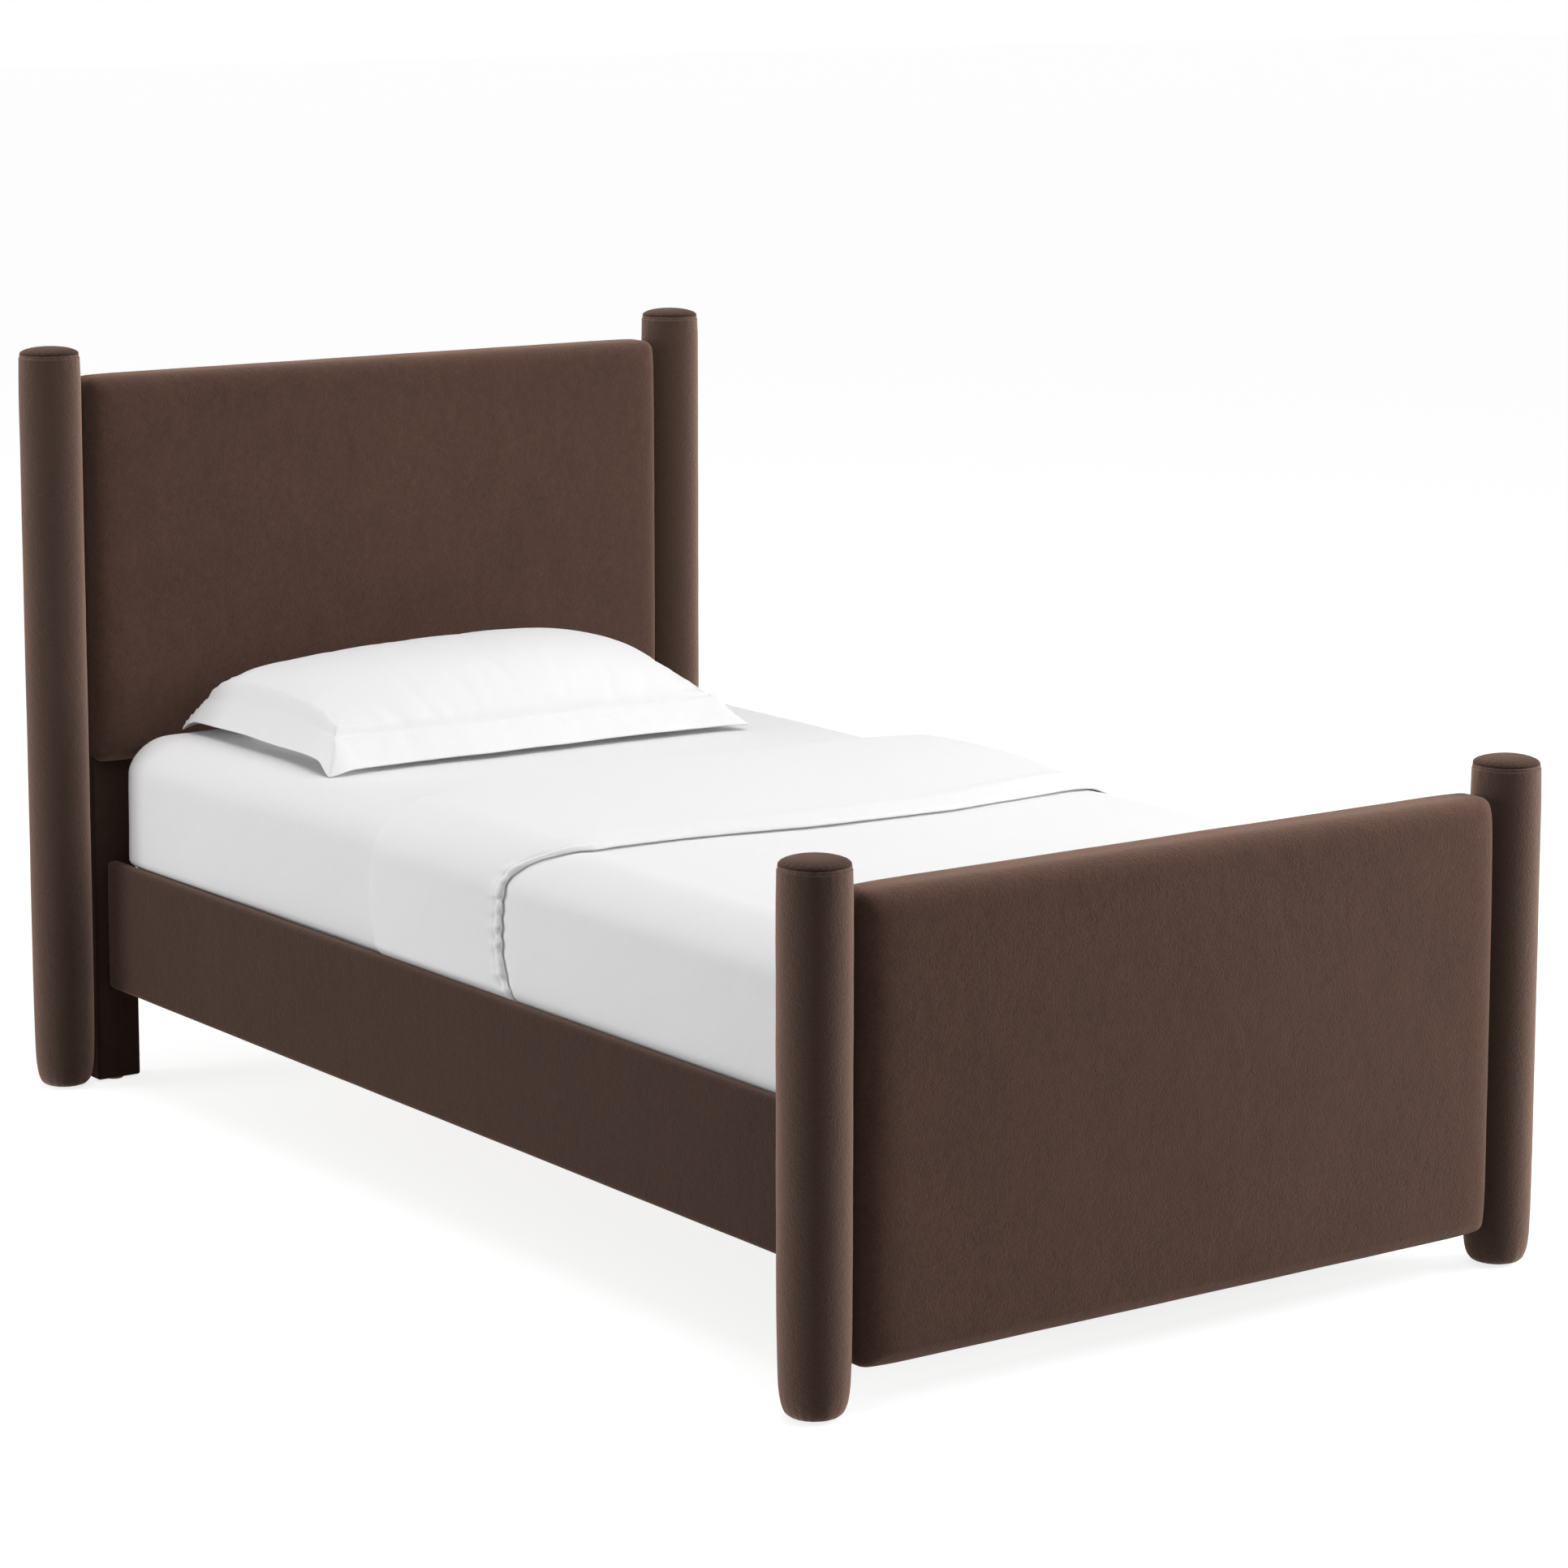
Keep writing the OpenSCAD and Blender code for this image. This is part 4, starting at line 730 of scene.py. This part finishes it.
fold = edge_line(
    [(0, 0.239), (0.20, 0.246), (0.38, 0.249), (0.53, 0.243), (0.65, 0.221), (0.78, 0.188),
     (0.88, 0.172), (0.96, 0.184), (1.06, 0.194), (1.16, 0.199), (1.25, 0.187), (1.34, 0.172)],
    [(0, 0.239), (0.12, 0.231), (0.30, 0.208), (0.50, 0.182), (0.66, 0.155), (0.80, 0.126),
     (1.0, 0.100), (1.34, 0.095)])
hem_line = edge_line(
    [(0, -0.311), (0.13, -0.305), (0.26, -0.292), (0.40, -0.279), (0.55, -0.268), (0.72, -0.262),
     (0.82, -0.257), (0.87, -0.236), (0.91, -0.203), (0.96, -0.170), (1.03, -0.158),
     (1.12, -0.155), (1.21, -0.160), (1.28, -0.178), (1.34, -0.196)],
    [(0, -0.311), (0.18, -0.318), (0.33, -0.323), (0.50, -0.315), (0.66, -0.310), (0.80, -0.304),
     (0.87, -0.313), (0.96, -0.322), (1.10, -0.328), (1.34, -0.330)])
fold = fold + 0.0016 * cloth_noise(w, 0, 9, 70)
gathered = np.where(w < 0, 0.10 + 0.90 * smooth_step(0.86, 0.98, far),
                    0.10 + 0.60 * smooth_step(0.78, 0.9, far))
scallops = np.abs(cloth_noise(w, 0, 46, 72))
hem_line = hem_line + 0.0016 * cloth_noise(w, 0, 17, 71) - gathered * 0.0065 * scallops
full = body + fold_air + over
start = fold - full / 2


def sway(y):
    """How the cover's upper layers stand off unevenly."""
    return free * (0.0016 * cloth_noise(w, y, 5, 73) + 0.0006 * cloth_noise(w, y, 15, 74))


under_y = foot_end + (start - foot_end) * np.linspace(0, 1, 28)[:-1]
bend = np.radians(np.linspace(-90, 90, 9))
near_hem = [0.0006, 0.002, 0.004, 0.006, 0.008, 0.0095, 0.011, 0.0125, 0.014, 0.016, 0.0185,
            0.0215, 0.025, 0.029, 0.034, 0.040, 0.047, 0.055, 0.064]
turned_back = np.linspace(0, 1, 40)[1:-1] ** 0.8
back = np.concatenate([
    np.broadcast_to(near_hem, (len(w), len(near_hem))),
    near_hem[-1] + (start - hem_line - near_hem[-1]) * turned_back], 1)[:, ::-1]
band_y = hem_line + back
along_band = np.clip(back / (start - hem_line), 0, 1)
band_air = hem_air + (fold_air - hem_air) * smooth_step(0, 0.75, along_band) ** 0.7
puff = 0.0045 * np.sin(math.pi * along_band) ** 0.6
ridge = (0.0045 * (1 - beside) + 0.0030 * loose) * np.exp(-(((back - 0.046) / 0.020) ** 2))
stitch = -0.0012 * np.exp(-(((back - 0.0115) / 0.0026) ** 2))
pucker_long = 0.006 + 0.006 * (1 + cloth_noise(w, 0, 30, 75))
pucker_reach = np.exp(-((np.maximum(back - 0.009, 0) / pucker_long) ** 2))
pucker = 0.0040 * cloth_noise(w + 0.12 * back, back / 9, 78, 76)
pucker = pucker + 0.0018 * cloth_noise(w, back / 5, 175, 77)
pucker = pucker_reach * gathered * (pucker + 0.0110 * (scallops - 0.22))
drag = 0.0012 * cloth_noise(w + 0.35 * back, back / 6, 16, 78)
drag = drag * smooth_step(0.02, 0.10, back) * (1 - along_band)
roll = -over * 0.5 * (1 - np.minimum(1, back / 0.005)) ** 2
raised = free * (puff + ridge + stitch + pucker + drag)
band_t = body + band_air + over + raised + sway(band_y) + roll
nose_y = hem_line + np.array([-0.0012, -0.0016, -0.0008])
nose_t = body + hem_air + over * np.array([0.38, 0.20, 0.02])
past_hem = [-0.004, 0.0005, 0.002, 0.004, 0.007, 0.011, 0.016, 0.023, 0.032, 0.044, 0.060]
ahead = np.concatenate([
    np.broadcast_to(past_hem, (len(w), len(past_hem))),
    past_hem[-1] + (hem_line - past_hem[-1] - foot_turn) * np.linspace(0, 1, 34)[1:]], 1)
face_y = hem_line - ahead
face_t = body + sway(face_y) - free * 0.0012 * np.exp(-((ahead / 0.012) ** 2))
foot_y = foot_turn + (foot_end - foot_turn) * np.linspace(0, 1, 9)[1:]
nip_y = start - 0.004
# Once round the cloth: underside, fold, band, hem, back under the band, face and foot end.
loop = [(under_y, 0 * under_y), (start + full / 2 * np.cos(bend), full / 2 * (1 + np.sin(bend))),
        (band_y, band_t), (nose_y, nose_t), (nip_y, body + fold_air), (nip_y, body),
        (face_y, face_t), (foot_y * np.ones_like(w), body * np.ones_like(foot_y))]
loop_y, loop_t = [np.concatenate(layer, 1) for layer in zip(*loop)]
points = lay(w, loop_y, loop_t).reshape(-1, 3)
n, m = loop_y.shape
faces = between_rings(n, m) + [tuple(range(m)), tuple((n - 1) * m + j for j in range(m))]
cover_cotton = cotton("cover_cotton", (0.895, 0.895, 0.90), 0.0016)
cover = make_piece("bed_cover_cloth", points, faces, cover_cotton, body="cover_set",
                   nodes=["bed_cover"])

# Pillow: a crowned pillow in a white cotton case. Round it hangs a flat flange, joined at a
# stitch line that puckers, and its four corners rest on the sheet.

pillow_cotton = cotton("pillow_cotton", (0.90, 0.90, 0.905), 0.0018)
corners = np.array([[(-0.432, 0.444), (-0.421, 0.955)], [(0.330, 0.420), (0.345, 0.925)]])
half_u, half_v, flange, out = 0.380, 0.252, 0.054, 0.042
case_u, case_v = half_u - out, half_v - out
seam_high = 0.054


def blown_up(across, along):
    """The filled case between its seams, as heights over a grid: two sheets of cloth sewn
    along one ring, blown up and left to wrinkle where the seam holds them."""
    u, v = np.meshgrid(np.linspace(-1, 1, across), np.linspace(-1, 1, along), indexing="ij")
    room = ((1 - np.abs(u) ** 2.4) * (1 - np.abs(v) ** 2.4)).clip(0)
    index = np.arange(across * along).reshape(across, along)
    ring = (np.abs(u) == 1) | (np.abs(v) == 1)
    lower = index.copy()
    lower[~ring] = across * along + np.arange((~ring).sum())
    faces = []
    for cloth_side, way in ((index, 1), (lower, -1)):
        for i in range(across - 1):
            for j in range(along - 1):
                quad = cloth_side[[i, i + 1, i + 1, i], [j, j, j + 1, j + 1]]
                faces.append(quad[::way].tolist())
    upper = np.stack([u * case_u, v * case_v, 0.030 * room**0.5], -1)
    points = np.vstack([upper.reshape(-1, 3), (upper * (1, 1, -0.8))[~ring]])
    mesh = bpy.data.meshes.new("filling")
    mesh.from_pydata(points.tolist(), [], faces)
    bag = bpy.data.objects.new("filling", mesh)
    bpy.context.scene.collection.objects.link(bag)
    bag.vertex_groups.new(name="seam").add([int(k) for k in index[ring]], 1.0, "REPLACE")
    cloth = bag.modifiers.new("cloth", "CLOTH")
    cloth.settings.quality = 6
    cloth.settings.mass = 0.25
    cloth.settings.tension_stiffness = 18
    cloth.settings.compression_stiffness = 18
    cloth.settings.shear_stiffness = 6
    cloth.settings.bending_stiffness = 0.08
    cloth.settings.air_damping = 2
    cloth.settings.use_pressure = True
    cloth.settings.uniform_pressure_force = 4
    cloth.settings.shrink_min = -0.025
    cloth.settings.vertex_group_mass = "seam"
    cloth.settings.effector_weights.gravity = 0
    for step in range(1, 25):
        bpy.context.scene.frame_set(step)
    sewn = bag.evaluated_get(bpy.context.evaluated_depsgraph_get()).data
    height = np.array([vertex.co.z for vertex in sewn.vertices])[:across * along]
    height = height.reshape(across, along)
    bpy.data.objects.remove(bag)
    bpy.context.scene.frame_set(1)
    return 0.3 * (height / height.max()).clip(0) + 0.7 * room**0.62


def read_between(values, places, half):
    """Smooth values between an even grid's lines, from -half to half along its first axis."""
    last = len(values) - 1
    at = (np.asarray(places) + half) / (2 * half) * last
    low = np.clip(at.astype(int), 0, last - 1)
    t = (at - low)[:, None]
    a, b, c, d = [values[np.clip(low + k, 0, last)] for k in (-1, 0, 1, 2)]
    square, cube = (2 * a - 5 * b + 4 * c - d) * t**2, (3 * b - a - 3 * c + d) * t**3
    return 0.5 * (2 * b + (c - a) * t + square + cube)


def case_lines(half):
    """Lines across the case: close together at the seam, then ten out to the flange's edge."""
    case = half - out
    near = np.array([0, 0.001, 0.002, 0.003, 0.0042, 0.006, 0.0085, 0.012, 0.0165, 0.022, 0.029])
    even = case - near[-1]
    inner = np.linspace(0, even, int(even / 0.0075))[:-1]
    rows = case + out * np.array([0.03, 0.07, 0.12, 0.22, 0.38, 0.56, 0.74, 0.88, 0.96, 1.0])
    right = np.concatenate([inner[1:], (case - near)[::-1], rows])
    return np.concatenate([-right[::-1], [0], right])


line_u, line_v = case_lines(half_u), case_lines(half_v)
inside_u, inside_v = np.clip(line_u, -case_u, case_u), np.clip(line_v, -case_v, case_v)
swell = read_between(blown_up(88, 62), inside_u, case_u)
swell = read_between(swell.T, inside_v, case_v).T.clip(0)
u, v = np.meshgrid(line_u, line_v, indexing="ij")
flat = np.stack([u, v, 0 * u], -1).reshape(-1, 3)


def pillow_noise(scale, seed):
    """Smooth noise over the case laid flat."""
    return ripple(flat, scale, seed).reshape(u.shape)


past_u = np.maximum(0, (np.abs(u) - case_u) / out)
past_v = np.maximum(0, (np.abs(v) - case_v) / out)
case_share_u = np.minimum(1, np.abs(u) / case_u)
case_share_v = np.minimum(1, np.abs(v) / case_v)
droop = np.maximum(past_u, past_v)
high = seam_high + 0.014 * (1 - case_share_v**2) * case_share_u**6 * (u < 0)
high = high + 0.010 * (1 - case_share_v**2) * case_share_u**6 * (u > 0)
high = high - 0.002 * (1 - case_share_u**2) * case_share_v**6
lesser = np.minimum(past_u, past_v) / np.maximum(droop, 1e-6)
past_case = out * (1 - lesser) * (droop > 0)
from_corner = np.where(past_u > past_v, case_v * (1 - case_share_v) + past_case,
                       case_u * (1 - case_share_u) + past_case)
lifted = smooth_step(0.0, 0.055, from_corner)
lift = np.where(past_u > past_v, 0.0185, 0.0075)
low = 0.0016 + lifted * (lift + 0.0025 * pillow_noise(7, 80))
low = low + 0.008 * (u > 0) * (1 - lifted)
seam_line = high + (low - high) * droop**1.08
seam_gap = np.minimum(case_u - np.abs(u), case_v - np.abs(v))
seam_gap = np.where(droop > 0, droop * flange, seam_gap)
held = 1 - 0.7 * smooth_step(0.10, 0.19, v)
groove = np.exp(-((seam_gap / 0.0028) ** 2))
lip = np.exp(-(((seam_gap - 0.0068) / 0.0028) ** 2))
stitch = held * (-0.0036 * groove + 0.0014 * lip)
near_seam = np.exp(-((seam_gap / 0.022) ** 2)) * np.minimum(1, seam_gap / 0.008)
along_seam = np.where(case_u - np.abs(u) < case_v - np.abs(v), v, u)
tight_folds = np.sin(150 * along_seam + 5 * pillow_noise(9, 82))
gathers = near_seam * (0.0013 * pillow_noise(42, 81) + 0.0006 * tight_folds)
creases = 0.0040 * pillow_noise(4.2, 83) + 0.0012 * pillow_noise(13, 84)
creases = swell**0.4 * (droop == 0) * creases
crown = 0.0885 * (1 + 0.08 * smooth_step(-0.12, 0.20, u))
cloth_half = 0.0009
fullness = 0.62 + 0.46 * (1 - smooth_step(-0.19, 0.02, v)) * smooth_step(-0.345, -0.26, u)
fullness = fullness - 0.10 * (1 - smooth_step(-0.33, -0.20, u))
upper = seam_line + cloth_half + crown * swell**fullness
upper = upper + stitch + gathers * (droop == 0) + creases
lower = np.maximum(0.0002, seam_line - cloth_half - 2 * seam_high * swell**0.8)
front = 1 - smooth_step(-0.19, -0.10, v)
flange_wave = 0.0100 * pillow_noise(26, 85) + 0.0060 * pillow_noise(55, 86)
flange_wave = droop * (1 - droop) * (0.3 + 0.7 * front) * flange_wave
upper, lower = upper + flange_wave, np.maximum(0.0002, lower + flange_wave)
upper = np.maximum(upper, lower + 0.0008)
bow_u, bow_v = 1 - (v / half_v) ** 4, 1 - (u / half_u) ** 6
draw_flange, draw_case = np.where(u < 0, 0.022, 0.010), np.where(u < 0, 0.006, 0)
draw_u = case_share_u**4 * bow_u * (draw_flange * past_u - draw_case * (1 - past_u))
draw_v = case_share_v**4 * bow_v * (0.009 + 0.008 * past_v)
flutter = droop**2 * (0.0030 * pillow_noise(11, 87) + 0.0007 * pillow_noise(30, 88)) * lifted
blunt = (past_u * past_v) ** 2 * np.where(u < 0, np.where(v > 0, 0.012, 0.009), 0.002)
share_u = 0.5 + (u - np.sign(u) * (draw_u + blunt - flutter * (past_u > 0))) / (2 * half_u)
share_v = 0.5 + (v - np.sign(v) * (draw_v + blunt - flutter * (past_v > 0))) / (2 * half_v)
place_x, place_y = [
    corners[0, 0, k] * (1 - share_u) * (1 - share_v) + corners[1, 0, k] * share_u * (1 - share_v)
    + corners[0, 1, k] * (1 - share_u) * share_v + corners[1, 1, k] * share_u * share_v
    for k in (0, 1)]
sheet_top = mattress_top + 0.0018
levels = [np.stack([place_x, place_y, level + sheet_top], -1) for level in (upper, lower)]
points = np.concatenate([level.reshape(-1, 3) for level in levels])
a, b = u.shape
shift = a * b
faces = []
for i in range(a - 1):
    for j in range(b - 1):
        k = i * b + j
        faces.append((k, k + 1, k + b + 1, k + b))
        faces.append((shift + k, shift + k + b, shift + k + b + 1, shift + k + 1))
border = [(i, 0) for i in range(a)] + [(a - 1, j) for j in range(1, b)]
border += [(i, b - 1) for i in range(a - 2, -1, -1)] + [(0, j) for j in range(b - 2, 0, -1)]
for k, (i, j) in enumerate(border):
    p, q = border[(k + 1) % len(border)]
    faces.append((i * b + j, p * b + q, shift + p * b + q, shift + i * b + j))
make_piece("pillow_cloth", points, faces, pillow_cotton, body="pillow_set",
           nodes=["pillow"])
